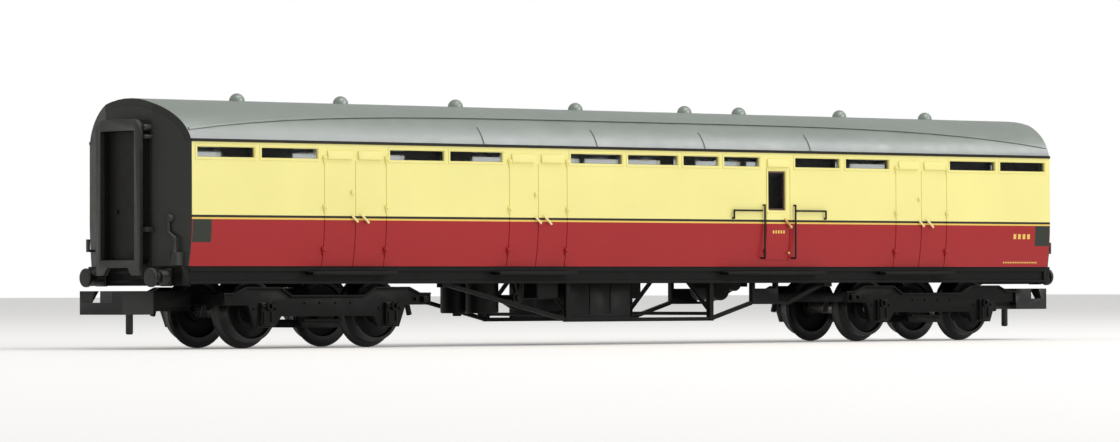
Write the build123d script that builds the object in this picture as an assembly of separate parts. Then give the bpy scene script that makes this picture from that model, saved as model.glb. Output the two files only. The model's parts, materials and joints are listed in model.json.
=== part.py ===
"""Nine millimetre gauge model coach: a bow-ended full brake van on two bogies.

Every height in this file is measured above the rail top, and each piece is lifted by the
depth of the wheel flanges when it is written, so that the finished coach stands on z = 0.
X runs along the coach. The front is the +X end, near the guard's door, and the right-hand
side is -Y. The rear end is the front end turned half way round.
"""

from build123d import *
import math
import os

os.makedirs("parts", exist_ok=True)

# Fits
FIT = 0.05                  # gap round a piece that is pushed into place
RUNNING_FIT = 0.04          # radial gap of a journal, a pivot or a hinge
ARC_GAP = 0.02              # gap under a curved face that rests on another

# Body, all outside sizes
BODY_LENGTH = 132.0         # over the corners
END_BOW = 1.55              # how far the flat middle of each end stands out
END_FACET = 8.4             # width of that flat middle
WAIST_WIDTH = 18.6
EAVES_LEAN = 0.045          # how far each side leans in from the waist to the eaves
BOTTOM_TUCK = 0.575         # how far each side curves in below the waist
BODY_BOTTOM = 8.3
WAIST_HEIGHT = 13.77
EAVES_HEIGHT = 21.63
SIDE_WALL = 0.8
END_WALL = 0.9
GROOVE_WIDTH = 0.12
GROOVE_DEPTH = 0.07

# Windows and doors, as pairs of lengths along the coach
TOPLIGHTS = [
    (-65.3, -57.6), (-56.6, -48.9), (-38.75, -31.0), (-30.1, -22.5),
    (-12.3, -4.5), (-3.6, 4.1), (5.0, 10.5), (11.4, 17.0),
    (22.8, 30.05), (31.1, 38.25), (48.6, 56.4), (57.3, 65.1),
]
TOPLIGHT_SILL_DROP = 1.63   # below the eaves
TOPLIGHT_HEAD_DROP = 0.55
LUGGAGE_DOORS = [(-48.0, -39.3), (-21.5, -12.9), (39.4, 48.0)]
GUARD_DOOR = (18.1, 21.9)
DROPLIGHT = (18.4, 21.2)
DROPLIGHT_SILL_RISE = 1.13  # above the waist
DROPLIGHT_HEAD_DROP = 2.13
DOOR_FOOT_RISE = 0.7        # of the guard's door, above the bottom of the body
DOOR_HEAD_DROP = 1.78

# Roof
ROOF_LAP = 0.02             # how far the roof stands out past the eaves, each side
ROOF_SPRING_DROP = 0.63     # from the eaves down to the roof ellipse's centre
ROOF_RISE = 5.45
ROOF_WALL = 0.75
GUTTER_HEIGHT = 0.32
GUTTER_PROUD = 0.1
RAIN_STRIP_RISE = 4.09      # from the ellipse's centre to the strip at mid length
RAIN_STRIP_DROP = 2.06      # fall of the strip from there to the corners
RAIN_STRIP_CURVE = 4        # power of the length that the strip falls with
RAIN_STRIP_WIDTH = 0.22
RAIN_STRIP_PROUD = 0.12
ROOF_SEAMS = [-25.0, -8.1, 8.6, 25.5]
SEAM_LOW_RISE = 1.05        # from the ellipse's centre
SEAM_HIGH_RISE = 2.9
ROOF_TAB_WIDTH = 8.0
ROOF_TAB_DEPTH = 1.4
ROOF_TAB_THICK = 0.6
VENT_PLACES = [-52.85, -38.3, -21.6, -3.5, 13.6, 22.35, 39.0, 53.6]
VENT_RADIUS = 0.87
VENT_HEIGHT = 0.85

# Glazing
GLASS_THICK = 0.5
GLASS_RECESS = 0.22
GLASS_LAP = 0.45

# Inside
PLATE_THICK = 1.0           # chassis plate, inside the body
BALLAST_LENGTH = 100.0
BALLAST_WIDTH = 11.0
BALLAST_THICK = 0.8
FLOOR_THICK = 0.6
FLOOR_GAP = 0.5             # from the floor moulding to the side walls
PARTITIONS = [4.55, 30.6]
PARTITION_THICK = 0.7
PARTITION_TOP = 19.0
SEAT_SIZE = (2.6, 3.0, 3.2)
SEAT_CLEAR = 1.0            # from the seat to the edge of the floor
DESK_SIZE = (3.0, 6.0, 0.5)
DESK_HEIGHT = 15.2

# Chassis
RIM_THICK = 0.28
RIM_INSET = 0.2             # in from the bottom of the body side
SOLEBAR_FOOT = 6.4
SOLEBAR_INSET = 0.9         # from the body side's foot to the back of the solebar
SOLEBAR_WEB = 0.4
SOLEBAR_FLANGE = 0.36
SOLEBAR_FLANGE_THICK = 0.28
HEADSTOCK_THICK = 1.0
HEADSTOCK_FOOT = 6.2
HEADSTOCK_INSET = 0.25
BEARER_PLACES = [-32.0, -11.1, 2.0, 11.1, 24.0]
BEARER_WIDTH = 0.8
BEARER_DEPTH = 0.6

# Footboards
FOOTBOARDS = [(-49.9, -38.0), (-23.3, -11.7), (11.6, 27.4), (37.2, 49.0)]
FOOTBOARD_TOP = 7.7
FOOTBOARD_THICK = 0.36
FOOTBOARD_PROUD = 0.475     # out past the waist
FOOTBOARD_BRACKET = 0.5

# Truss
TRUSS_INSET = 0.75          # from the back of the solebar to the middle of the truss
TRUSS_POST = 11.1
TRUSS_END = 29.5
STEP_START = 17.6           # shelf at the foot of the truss, towards the front
STEP_END = 23.6
STEP_FOOT = 3.9
STEP_THICK = 0.3
STEP_BOX_END = 21.8
STEP_BOX_TOP = 5.75
STEP_UPRIGHT = 0.45
TRUSS_FOOT = 2.0
TRUSS_BAR = 0.45
TRUSS_POST_BAR = 0.62
STAY_RADIUS = 0.26
STAY_TOP_OFFSET = 1.6
TIE_RADIUS = 0.2
TIE_HEIGHT = 2.85

# Equipment below the floor
BATTERY_FOOT = 2.45
BATTERY_RIGHT = (-10.4, -1.0)
BATTERY_LEFT = (-8.0, 1.4)
BATTERY_DEPTH = 6.1         # across the coach
BATTERY_LID = 0.9
BATTERY_RIB = 0.16
BATTERY_RIBS = (1 / 3, 2 / 3)
CYLINDER_PLACE = -19.6
CYLINDER_SPACING = 4.4
CYLINDER_RADIUS = 1.9
CYLINDER_FOOT = 3.0
SHAFT_PLACE = -16.9
SHAFT_HEIGHT = 4.75
SHAFT_RADIUS = 0.35
HANGER_OFFSET = 5.2
HANGER_SPREAD = 2.0
HANGER_BAR = 0.36
HANGER_THICK = 0.4
REGULATOR_BOX = (-15.2, -11.9, -6.7, -4.2)
REGULATOR_FOOT = 4.6
SWITCH_BOX = (3.4, 7.6, 1.0, 4.2)
SWITCH_FOOT = 4.6
DYNAMO_PLACE = 17.6
DYNAMO_HEIGHT = 5.7
DYNAMO_RADIUS = 1.35
DYNAMO_LENGTH = 4.2
PULLEY_PLACE = 20.7
PULLEY_HEIGHT = 6.5
PULLEY_RADIUS = 1.05
EQUIPMENT_FILLET = 0.2

# Bogies
BOGIE_CENTRES = 93.2
WHEELBASE = 17.4
BOGIE_HALF_LENGTH = 14.4
FRAME_INNER = 7.3           # half the width between the side frames
FRAME_THICK = 0.8
FRAME_END_TOP = 5.3
FRAME_HUMP_TOP = 5.94
FRAME_MIDDLE_TOP = 5.05
FRAME_END_FOOT = 4.05
FRAME_MIDDLE_FOOT = 2.85
HORN_FOOT = 1.65            # lowest edge of the side frame, under each axlebox
HORN_FOOT_SPREAD = 2.7
AXLEBOX_FOOT = 1.85
AXLEBOX_TOP = 4.35
AXLEBOX_WIDTH = 1.7
AXLEBOX_PROUD = 0.5
HORN_SPREAD = 4.6           # width of the side frame at the top of each horn
HUMP_OUTWARD = 2.7          # level top of each hump, out and in from its axle
HUMP_INWARD = 2.1
HUMP_RAMP = 1.5
BEAM_THICK = 0.8
BEAM_FOOT = 4.1
BEAM_TOP = 5.2
BOLSTER_LENGTH = 8.4
BOLSTER_FOOT = 4.0
BOLSTER_TOP = 5.0
BOGIE_BOSS_RADIUS = 3.1
BOGIE_BOSS_TOP = 5.9
PLANK_LENGTH = 5.6
PLANK_WIDTH = 14.0
PLANK_FOOT = 1.6
PLANK_TOP = 2.45
SWING_LINK = 0.6
GUARD_IRON_OFFSET = 4.5
GUARD_IRON_FOOT = 2.9
GUARD_IRON = 0.45
PIVOT_RADIUS = 1.2
PIVOT_HEAD_RADIUS = 2.0
PIVOT_HEAD_THICK = 0.7
PIVOT_SLOT = 0.4
PIVOT_GAP = 0.1             # end play between screw head, bogie and chassis boss
CHASSIS_BOSS_RADIUS = 2.4

# Wheels
TREAD_RADIUS = 3.45
FLANGE_DEPTH = 0.65
FLANGE_THICK = 0.6
WHEEL_WIDTH = 2.0
BACK_TO_BACK = 7.5
RIM_DEPTH = 0.55
WEB_THICK = 0.8
HUB_RADIUS = 1.25
AXLE_RADIUS = 0.75
JOURNAL_RADIUS = 0.5
JOURNAL_REACH = 0.45        # how far each journal enters its side frame
TREAD_CONE = 0.08           # fall of the tread across its width

# Couplers
COUPLER_BACK_REACH = 5.5    # from the end of the bogie
COUPLER_ARM_REACH = 9.6
COUPLER_REACH = 10.9
COUPLER_HALF_WIDTH = 3.0
COUPLER_FOOT = 3.1
COUPLER_DECK = 4.4
COUPLER_TOP = 5.65
COUPLER_ARM = 1.5           # width of the side arm
COUPLER_WALL_REACH = 8.2    # front of the wall behind the horn
HORN_LENGTH = 1.4
HORN_WIDTH = 2.1
HORN_LEAN = 0.5
SHANK_HALF_WIDTH = 0.8
SHANK_FOOT = 4.2
SHANK_TOP = 4.95
SHANK_TEE_HALF_WIDTH = 1.55
SHANK_TEE = 0.7
NECK_LENGTH = 1.0
HINGE_REACH = 4.25
HINGE_HEIGHT = 4.6
TAIL_REACH = 6.5
TAIL_RADIUS = 0.4
TAIL_FOOT = 0.95
POCKET_REACH = 5.2
POCKET_WALL = 0.5
POCKET_HALF_WIDTH = 2.3
POCKET_TOP = 5.6
POCKET_FOOT = 3.75
POCKET_PLAY = 0.25          # room round the shank inside the pocket
KEEPER_THICK = 0.3
SPRING_RADIUS = 0.45
SPRING_WIRE = 0.1
SPRING_TURNS = 5

# Ends
BUFFER_OFFSET = 5.87
BUFFER_HEIGHT = 7.09
BUFFER_REACH = 3.2          # from the corners of the body to the face
BUFFER_HEAD_RADIUS = 1.03
BUFFER_HEAD_THICK = 0.45
BUFFER_SHANK_RADIUS = 0.5
BUFFER_HOUSING_RADIUS = 0.8
BUFFER_HOUSING_LENGTH = 1.2
BUFFER_BASE = 1.9
BUFFER_BASE_THICK = 0.25
BUFFER_SPIGOT_RADIUS = 0.4
BUFFER_SPIGOT_LENGTH = 0.7
GANGWAY_REACH = 3.1
GANGWAY_PLATE_THICK = 0.55
GANGWAY_PLATE_WIDTH = 7.85
GANGWAY_PLATE_DROP = 1.0    # below the bottom of the body
GANGWAY_PLATE_RISE = 2.47   # above the eaves
GANGWAY_CORNER = 1.2
GANGWAY_OPENING_WIDTH = 6.1
GANGWAY_SILL_RISE = 0.65
GANGWAY_HEAD_RISE = 1.25
GANGWAY_NOTCH_FOOT = 5.0    # width of the notch
GANGWAY_NOTCH_HEAD = 3.6
GANGWAY_NOTCH_DEPTH = 0.85
BELLOWS_WIDTH = 7.7
BELLOWS_FOOT_RISE = 0.1
BELLOWS_TOP_RISE = 2.17
GANGWAY_DOOR_THICK = 0.35
KNOB_RADIUS = 0.22
KNOB_HEIGHT = 14.2
ROLLER_RADIUS = 0.34
ROLLER_RISE = 1.57          # above the eaves
LOWER_ROLLER_RISE = 0.57
LOWER_ROLLER_RADIUS = 0.22
STEP_HEIGHT = 12.0
STEP_SIZE = (0.9, 0.7, 0.5)
PIPE_RADIUS = 0.2
PIPE_TOP = (6.5, 13.4)
PIPE_FOOT = (7.6, 9.8)
PIPE_STRAIGHT = 1.5         # upright length at each end of the pipe
PIPE_FLANGE_RADIUS = 0.48
PIPE_BOX = (1.2, 1.4)
LAMP_IRON = (8.2, 9.9)
LAMP_IRON_SIZE = (0.8, 0.5, 1.4)

# Handrails
RAIL_RADIUS = 0.11
RAIL_STANDOFF = 0.28
UPRIGHT_RAILS = [17.6, 22.55]
UPRIGHT_FOOT = 9.3
UPRIGHT_TOP = 15.5
LEVEL_RAILS = [(17.2, 12.7), (22.95, 27.5)]
LEVEL_HEIGHT = 14.86
LEVEL_END = 13.95

# Clear of everything, for cuts and for keeping one side of a shape
FAR = 200.0

HALF = BODY_LENGTH / 2
EAVES_WIDTH = WAIST_WIDTH - 2 * EAVES_LEAN
BOTTOM_WIDTH = WAIST_WIDTH - 2 * BOTTOM_TUCK
ROOF_WIDTH = EAVES_WIDTH + 2 * ROOF_LAP
GUTTER_WIDTH = ROOF_WIDTH + 2 * GUTTER_PROUD
ROOF_SPRING = EAVES_HEIGHT - ROOF_SPRING_DROP
TOPLIGHT_SILL = EAVES_HEIGHT - TOPLIGHT_SILL_DROP
TOPLIGHT_HEAD = EAVES_HEIGHT - TOPLIGHT_HEAD_DROP
DROPLIGHT_SILL = WAIST_HEIGHT + DROPLIGHT_SILL_RISE
DROPLIGHT_HEAD = EAVES_HEIGHT - DROPLIGHT_HEAD_DROP
DOOR_BOTTOM = BODY_BOTTOM + DOOR_FOOT_RISE
DOOR_HEAD = EAVES_HEIGHT - DOOR_HEAD_DROP
RIM_WIDTH = BOTTOM_WIDTH - 2 * RIM_INSET
HEADSTOCK_WIDTH = BOTTOM_WIDTH - 2 * HEADSTOCK_INSET
SOLEBAR_INNER = BOTTOM_WIDTH / 2 - SOLEBAR_INSET
FOOTBOARD_REACH = WAIST_WIDTH / 2 + FOOTBOARD_PROUD
TRUSS_OFFSET = SOLEBAR_INNER - TRUSS_INSET
BATTERY_OUTER = TRUSS_OFFSET - TRUSS_POST_BAR / 2 - FIT
AXLE_HEIGHT = TREAD_RADIUS
PLATE_TOP = BODY_BOTTOM + PLATE_THICK
RIM_FOOT = BODY_BOTTOM - RIM_THICK
FLOOR_FOOT = PLATE_TOP + BALLAST_THICK + FIT
FLOOR_TOP = FLOOR_FOOT + FLOOR_THICK
WHEEL_OUTER = BACK_TO_BACK / 2 + WHEEL_WIDTH
BOGIE_END = BOGIE_CENTRES / 2 + BOGIE_HALF_LENGTH
POCKET_FRONT = BOGIE_END + POCKET_REACH
HINGE_PLACE = BOGIE_END + HINGE_REACH
COUPLER_BACK = BOGIE_END + COUPLER_BACK_REACH
COUPLER_ARM_FRONT = BOGIE_END + COUPLER_ARM_REACH
COUPLER_FRONT = BOGIE_END + COUPLER_REACH
COUPLER_WALL = BOGIE_END + COUPLER_WALL_REACH
TAIL_PLACE = BOGIE_END + TAIL_REACH
BUFFER_FACE = HALF + BUFFER_REACH
GANGWAY_FACE = HALF + GANGWAY_REACH
GANGWAY_PLATE_FOOT = BODY_BOTTOM - GANGWAY_PLATE_DROP
GANGWAY_PLATE_TOP = EAVES_HEIGHT + GANGWAY_PLATE_RISE
GANGWAY_OPENING_FOOT = BODY_BOTTOM + GANGWAY_SILL_RISE
GANGWAY_OPENING_TOP = EAVES_HEIGHT + GANGWAY_HEAD_RISE
GANGWAY_NOTCH_TOP = GANGWAY_PLATE_FOOT + GANGWAY_NOTCH_DEPTH
BELLOWS_FOOT = BODY_BOTTOM + BELLOWS_FOOT_RISE
BELLOWS_TOP = EAVES_HEIGHT + BELLOWS_TOP_RISE
ROLLER_HEIGHT = EAVES_HEIGHT + ROLLER_RISE
LOWER_ROLLER_HEIGHT = EAVES_HEIGHT + LOWER_ROLLER_RISE


def save(shape, name):
    """Writes one sub-part, lifted so that the wheel flanges stand on z = 0."""
    export_step(Pos(0, 0, FLANGE_DEPTH) * shape, f"parts/{name}.step")


def block(x_low, x_high, y_low, y_high, z_low, z_high):
    """A box between two corners."""
    middle = Pos((x_low + x_high) / 2, (y_low + y_high) / 2, (z_low + z_high) / 2)
    return middle * Box(x_high - x_low, y_high - y_low, z_high - z_low)


def rod(start, end, radius):
    """A round bar between two points."""
    axis = Vector(*end) - Vector(*start)
    return Plane(origin=start, z_dir=axis) * extrude(Circle(radius), axis.length)


def lying_x(radius, x_low, x_high, y, z):
    """A round bar along the coach."""
    return rod((x_low, y, z), (x_high, y, z), radius)


def lying_y(radius, y_low, y_high, x, z):
    """A round bar across the coach."""
    return rod((x, y_low, z), (x, y_high, z), radius)


def upright(radius, z_low, z_high, x, y):
    """A round bar that stands up."""
    return rod((x, y, z_low), (x, y, z_high), radius)


def pipe_along(points, radius):
    """Round bar along a line of points, with a ball at each corner."""
    pipe = rod(points[0], points[1], radius)
    for corner, following in zip(points[1:-1], points[2:]):
        pipe += Pos(*corner) * Sphere(radius)
        pipe += rod(corner, following, radius)
    return pipe


def other_side(shape):
    """The same piece on the other side of the coach."""
    return mirror(shape, about=Plane.XZ)


def other_end(shape):
    """The same piece at the rear end."""
    return Rot(0, 0, 180) * shape


def group(shapes):
    """Several separate solids in one node."""
    return Compound([solid for shape in shapes for solid in shape.solids()])


def side_offset(height, inset=0.0):
    """Half the body's width at a height, on its outer face or a wall's depth inside."""
    fall = WAIST_HEIGHT - BODY_BOTTOM
    tuck = (WAIST_WIDTH - BOTTOM_WIDTH) / 2
    radius = (fall**2 + tuck**2) / (2 * tuck)
    below = WAIST_HEIGHT - height
    if below > 0:
        return WAIST_WIDTH / 2 - radius + math.sqrt(radius**2 - below**2) - inset
    lean = (WAIST_WIDTH - EAVES_WIDTH) / 2
    return WAIST_WIDTH / 2 + lean * below / (EAVES_HEIGHT - WAIST_HEIGHT) - inset


def end_offset(y):
    """How far the faceted end stands from mid length, at a distance from the centre line."""
    half_width = WAIST_WIDTH / 2
    share = (half_width - abs(y)) / (half_width - END_FACET / 2)
    return HALF + END_BOW * min(share, 1)


def body_prism(inset, reach=FAR):
    """The body's cross-section up to the eaves, run along the coach."""
    low = (side_offset(BODY_BOTTOM, inset), BODY_BOTTOM)
    mid_height = (BODY_BOTTOM + WAIST_HEIGHT) / 2
    mid = (side_offset(mid_height, inset), mid_height)
    waist = (side_offset(WAIST_HEIGHT, inset), WAIST_HEIGHT)
    eaves = (side_offset(EAVES_HEIGHT, inset), EAVES_HEIGHT)
    outline = [
        Line((-low[0], low[1]), low),
        ThreePointArc(low, mid, waist),
        Line(waist, eaves),
        Line(eaves, (-eaves[0], eaves[1])),
        Line((-eaves[0], eaves[1]), (-waist[0], waist[1])),
        ThreePointArc((-waist[0], waist[1]), (-mid[0], mid[1]), (-low[0], low[1])),
    ]
    return extrude(Plane.YZ * make_face(outline), reach / 2, both=True)


def roof_prism(inset, reach=FAR):
    """The roof's elliptical crown above the eaves, run along the coach."""
    ellipse = Pos(0, ROOF_SPRING) * Ellipse(ROOF_WIDTH / 2 - inset, ROOF_RISE - inset)
    crown = extrude(Plane.YZ * ellipse, reach / 2, both=True)
    return crown & block(-FAR, FAR, -FAR, FAR, EAVES_HEIGHT, FAR)


def bowed_plan():
    """Everything between the two ends, each a flat middle with two faces sloping back."""
    half_width = WAIST_WIDTH / 2
    facet = END_FACET / 2
    front = [(HALF, -half_width), (HALF + END_BOW, -facet), (HALF + END_BOW, facet),
             (HALF, half_width)]
    rear = [(-x, -y) for x, y in front]
    ends = extrude(make_face(Polyline(*front, *rear, close=True)), FAR)
    return ends + block(-HALF, HALF, -FAR, FAR, 0, FAR)


def glass_openings(gap):
    """Blocks through both sides at every window, made smaller all round by a gap."""
    blocks = []
    for start, end in TOPLIGHTS:
        height = (TOPLIGHT_SILL + gap, TOPLIGHT_HEAD - gap)
        blocks.append(block(start + gap, end - gap, -FAR, FAR, *height))
    height = (DROPLIGHT_SILL + gap, DROPLIGHT_HEAD - gap)
    blocks.append(block(DROPLIGHT[0] + gap, DROPLIGHT[1] - gap, -FAR, FAR, *height))
    return blocks


def door_grooves():
    """The lines round every door leaf, cut lightly into both sides."""
    half = GROOVE_WIDTH / 2
    cuts = []
    for start, end in LUGGAGE_DOORS:
        cuts += [block(x - half, x + half, -FAR, FAR, 0, DOOR_HEAD)
                 for x in (start, (start + end) / 2, end)]
    cuts += [block(x - half, x + half, -FAR, FAR, DOOR_BOTTOM, DOOR_HEAD) for x in GUARD_DOOR]
    start, end = GUARD_DOOR
    cuts.append(block(start - half, end + half, -FAR, FAR, DOOR_BOTTOM,
                      DOOR_BOTTOM + GROOVE_WIDTH))
    skin = body_prism(-FIT) - body_prism(GROOVE_DEPTH)
    return [cut & skin for cut in cuts]


def make_body_shell():
    """Both sides and both ends in one moulding, open above and below."""
    walls = body_prism(0) + roof_prism(ROOF_WALL + ARC_GAP)
    inner = HALF - END_WALL
    cavity = body_prism(SIDE_WALL, 2 * inner)
    mouth = side_offset(BODY_BOTTOM, SIDE_WALL)
    cavity += block(-inner, inner, -mouth, mouth, 0, BODY_BOTTOM + FIT)
    cavity += block(-inner, inner, -FAR, FAR, EAVES_HEIGHT, FAR)
    cavity += block(-inner, inner, -EAVES_WIDTH / 2 + SIDE_WALL, EAVES_WIDTH / 2 - SIDE_WALL,
                    EAVES_HEIGHT - FIT, FAR)
    shell = (walls & bowed_plan()) - cavity
    return shell - glass_openings(0) - door_grooves()


def rain_strip_height(x):
    """Height of the rain strip: almost level, then falling faster towards the ends."""
    crown = ROOF_SPRING + RAIN_STRIP_RISE
    return crown - RAIN_STRIP_DROP * (x / HALF) ** RAIN_STRIP_CURVE


def rain_strip_band():
    """The space behind a rain strip, right across the coach."""
    stations = [HALF * step / 6 for step in range(-6, 7)]
    half = RAIN_STRIP_WIDTH / 2
    upper = Spline([(x, rain_strip_height(x) + half) for x in stations])
    lower = Spline([(x, rain_strip_height(x) - half) for x in stations])
    ends = [Line(upper @ 0, lower @ 0), Line(upper @ 1, lower @ 1)]
    return extrude(Plane.XZ * make_face([upper, lower] + ends), FAR / 2, both=True)


def make_roof():
    """The roof moulding, with gutters, rain strips, seams and two locating tabs."""
    shell = (roof_prism(0) - roof_prism(ROOF_WALL)) & bowed_plan()
    proud = roof_prism(-RAIN_STRIP_PROUD) - roof_prism(FIT)
    ribs = [proud & rain_strip_band()]
    half = RAIN_STRIP_WIDTH / 2
    for x in ROOF_SEAMS:
        ribs.append(proud & block(x - half, x + half, -FAR, FAR, ROOF_SPRING + SEAM_LOW_RISE,
                                  ROOF_SPRING + SEAM_HIGH_RISE))
    gutter_top = EAVES_HEIGHT + GUTTER_HEIGHT
    gutter = block(-HALF, HALF, -GUTTER_WIDTH / 2, GUTTER_WIDTH / 2, EAVES_HEIGHT, gutter_top)
    gutter -= roof_prism(ROOF_WALL / 2)
    shell = shell + gutter + ribs
    tab_face = HALF - END_WALL - FIT
    under_roof = roof_prism(ROOF_WALL / 2)
    for face in (tab_face, -tab_face + ROOF_TAB_THICK):
        tab = block(face - ROOF_TAB_THICK, face, -ROOF_TAB_WIDTH / 2, ROOF_TAB_WIDTH / 2,
                    EAVES_HEIGHT, FAR) & under_roof
        tab += block(face - ROOF_TAB_THICK, face, -ROOF_TAB_WIDTH / 2, ROOF_TAB_WIDTH / 2,
                     EAVES_HEIGHT - ROOF_TAB_DEPTH, EAVES_HEIGHT)
        shell += tab
    return shell


def make_roof_vents():
    """The shell ventilators along the ridge."""
    ridge = ROOF_SPRING + ROOF_RISE
    dome = Pos(0, 0, ridge + VENT_HEIGHT - VENT_RADIUS) * Sphere(VENT_RADIUS)
    seated = dome - roof_prism(0)
    return group(Pos(x, 0, 0) * seated for x in VENT_PLACES)


def make_glazing():
    """The right-hand glazing strip, with a plug that fills each window."""
    behind = SIDE_WALL + FIT
    strip = body_prism(behind) - body_prism(behind + GLASS_THICK)
    strip &= block(-FAR, FAR, -FAR, 0, 0, FAR)
    low = TOPLIGHT_SILL - GLASS_LAP
    high = TOPLIGHT_HEAD + GLASS_LAP
    start = max(TOPLIGHTS[0][0] - GLASS_LAP, -HALF + END_WALL + FIT)
    end = min(TOPLIGHTS[-1][1] + GLASS_LAP, HALF - END_WALL - FIT)
    keep = block(start, end, -FAR, 0, low, high)
    keep += block(DROPLIGHT[0] - GLASS_LAP, DROPLIGHT[1] + GLASS_LAP, -FAR, 0,
                  DROPLIGHT_SILL - GLASS_LAP, low)
    skin = body_prism(GLASS_RECESS) - body_prism(behind + GLASS_THICK)
    skin &= block(-FAR, FAR, -FAR, 0, 0, FAR)
    strip = strip & keep
    for opening in glass_openings(FIT):
        strip += skin & opening
    return strip


def make_interior():
    """Floor, two partitions, and the guard's seat and desk, in one moulding."""
    half_length = HALF - END_WALL - ROOF_TAB_THICK - 2 * FIT
    half_width = side_offset(FLOOR_FOOT, SIDE_WALL) - FLOOR_GAP
    moulding = block(-half_length, half_length, -half_width, half_width, FLOOR_FOOT, FLOOR_TOP)
    for x in PARTITIONS:
        moulding += block(x - PARTITION_THICK / 2, x + PARTITION_THICK / 2,
                          -half_width, half_width, FLOOR_TOP, PARTITION_TOP)
    length, width, height = SEAT_SIZE
    wall = PARTITIONS[1] - PARTITION_THICK / 2
    edge = -half_width + SEAT_CLEAR
    moulding += block(wall - length, wall, edge, edge + width, FLOOR_TOP, FLOOR_TOP + height)
    length, width, height = DESK_SIZE
    wall = PARTITIONS[0] + PARTITION_THICK / 2
    moulding += block(wall, wall + length, -width / 2, width / 2,
                      DESK_HEIGHT, DESK_HEIGHT + height)
    return moulding


def make_ballast():
    """A steel strip that lies on the chassis plate, under the floor."""
    half = BALLAST_WIDTH / 2
    return block(-BALLAST_LENGTH / 2, BALLAST_LENGTH / 2, -half, half,
                 PLATE_TOP, PLATE_TOP + BALLAST_THICK)


def make_chassis():
    """Floor plate, solebars, headstocks and the two bosses that the bogies turn under."""
    inner = HALF - END_WALL - FIT
    half_width = side_offset(BODY_BOTTOM, SIDE_WALL) - FIT
    chassis = block(-inner, inner, -half_width, half_width, BODY_BOTTOM, PLATE_TOP)
    chassis += block(-HALF, HALF, -RIM_WIDTH / 2, RIM_WIDTH / 2, RIM_FOOT, BODY_BOTTOM)
    beam = HALF + END_BOW / 2 - HEADSTOCK_THICK
    web = SOLEBAR_INNER + SOLEBAR_WEB
    lip = web + SOLEBAR_FLANGE
    solebar = block(-beam, beam, SOLEBAR_INNER, web, SOLEBAR_FOOT, RIM_FOOT)
    solebar += block(-beam, beam, web, lip, SOLEBAR_FOOT, SOLEBAR_FOOT + SOLEBAR_FLANGE_THICK)
    solebar += block(-beam, beam, web, lip, RIM_FOOT - SOLEBAR_FLANGE_THICK, RIM_FOOT)
    chassis = chassis + solebar + other_side(solebar)
    headstock = block(beam, beam + HEADSTOCK_THICK, -HEADSTOCK_WIDTH / 2,
                      HEADSTOCK_WIDTH / 2, HEADSTOCK_FOOT, BODY_BOTTOM)
    for side in (-1, 1):
        hole = BUFFER_SPIGOT_RADIUS + FIT
        headstock -= lying_x(hole, beam, beam + FAR, side * BUFFER_OFFSET, BUFFER_HEIGHT)
    chassis = chassis + headstock + other_end(headstock)
    for x in BEARER_PLACES:
        chassis += block(x - BEARER_WIDTH / 2, x + BEARER_WIDTH / 2, -SOLEBAR_INNER,
                         SOLEBAR_INNER, RIM_FOOT - BEARER_DEPTH, RIM_FOOT)
    for x in (-BOGIE_CENTRES / 2, BOGIE_CENTRES / 2):
        chassis += upright(CHASSIS_BOSS_RADIUS, BOGIE_BOSS_TOP + PIVOT_GAP, RIM_FOOT, x, 0)
        chassis -= upright(PIVOT_RADIUS + ARC_GAP, 0, pivot_top() + PIVOT_GAP, x, 0)
    return chassis


def pivot_top():
    """Height of the pivot screw's point, inside the chassis plate."""
    return BODY_BOTTOM + PLATE_THICK / 2


def make_footboards():
    """The right-hand footboards, each carried on the lip of the solebar."""
    lip = SOLEBAR_INNER + SOLEBAR_WEB + SOLEBAR_FLANGE
    web = SOLEBAR_INNER + SOLEBAR_WEB
    foot = FOOTBOARD_TOP - FOOTBOARD_THICK
    boards = []
    for start, end in FOOTBOARDS:
        board = block(start, end, -FOOTBOARD_REACH, -lip, foot, FOOTBOARD_TOP)
        for x in (start + FOOTBOARD_BRACKET, end - FOOTBOARD_BRACKET):
            board += block(x - FOOTBOARD_BRACKET / 2, x + FOOTBOARD_BRACKET / 2,
                           -lip, -web, foot, FOOTBOARD_TOP)
        boards.append(board)
    return group(boards)


def bar_in_side(start, end, depth, thick, y):
    """A flat bar between two points (x, z) in an upright plane beside the coach."""
    run = Vector(end[0] - start[0], end[1] - start[1])
    centre = ((start[0] + end[0]) / 2, (start[1] + end[1]) / 2)
    slope = math.degrees(math.atan2(run.Y, run.X))
    return Pos(centre[0], y, centre[1]) * Rot(0, -slope, 0) * Box(run.length, thick, depth)


def make_truss():
    """The right-hand truss: two queen posts, a bottom bar and two sloping bars."""
    half = TRUSS_BAR / 2
    y = -TRUSS_OFFSET
    middle = TRUSS_FOOT + half
    truss = block(-TRUSS_POST, TRUSS_POST, y - half, y + half, TRUSS_FOOT, TRUSS_FOOT + TRUSS_BAR)
    shelf = STEP_FOOT + STEP_THICK / 2
    truss += bar_in_side((-TRUSS_POST, middle), (-TRUSS_END, SOLEBAR_FOOT),
                         TRUSS_BAR, TRUSS_BAR, y)
    truss += bar_in_side((TRUSS_POST, middle), (STEP_START, shelf), TRUSS_BAR, TRUSS_BAR, y)
    truss += bar_in_side((STEP_END, shelf), (TRUSS_END, SOLEBAR_FOOT), TRUSS_BAR, TRUSS_BAR, y)
    truss += make_step()
    for side in (-1, 1):
        post = side * TRUSS_POST
        truss += block(post - TRUSS_POST_BAR / 2, post + TRUSS_POST_BAR / 2,
                       y - TRUSS_POST_BAR / 2, y + TRUSS_POST_BAR / 2, TRUSS_FOOT,
                       RIM_FOOT - BEARER_DEPTH)
        end = side * TRUSS_END
        pad = block(end - TRUSS_POST_BAR, end + TRUSS_POST_BAR, -SOLEBAR_INNER, y + half,
                    SOLEBAR_FOOT - TRUSS_BAR, SOLEBAR_FOOT + TRUSS_BAR)
        truss += pad
    return truss


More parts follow.
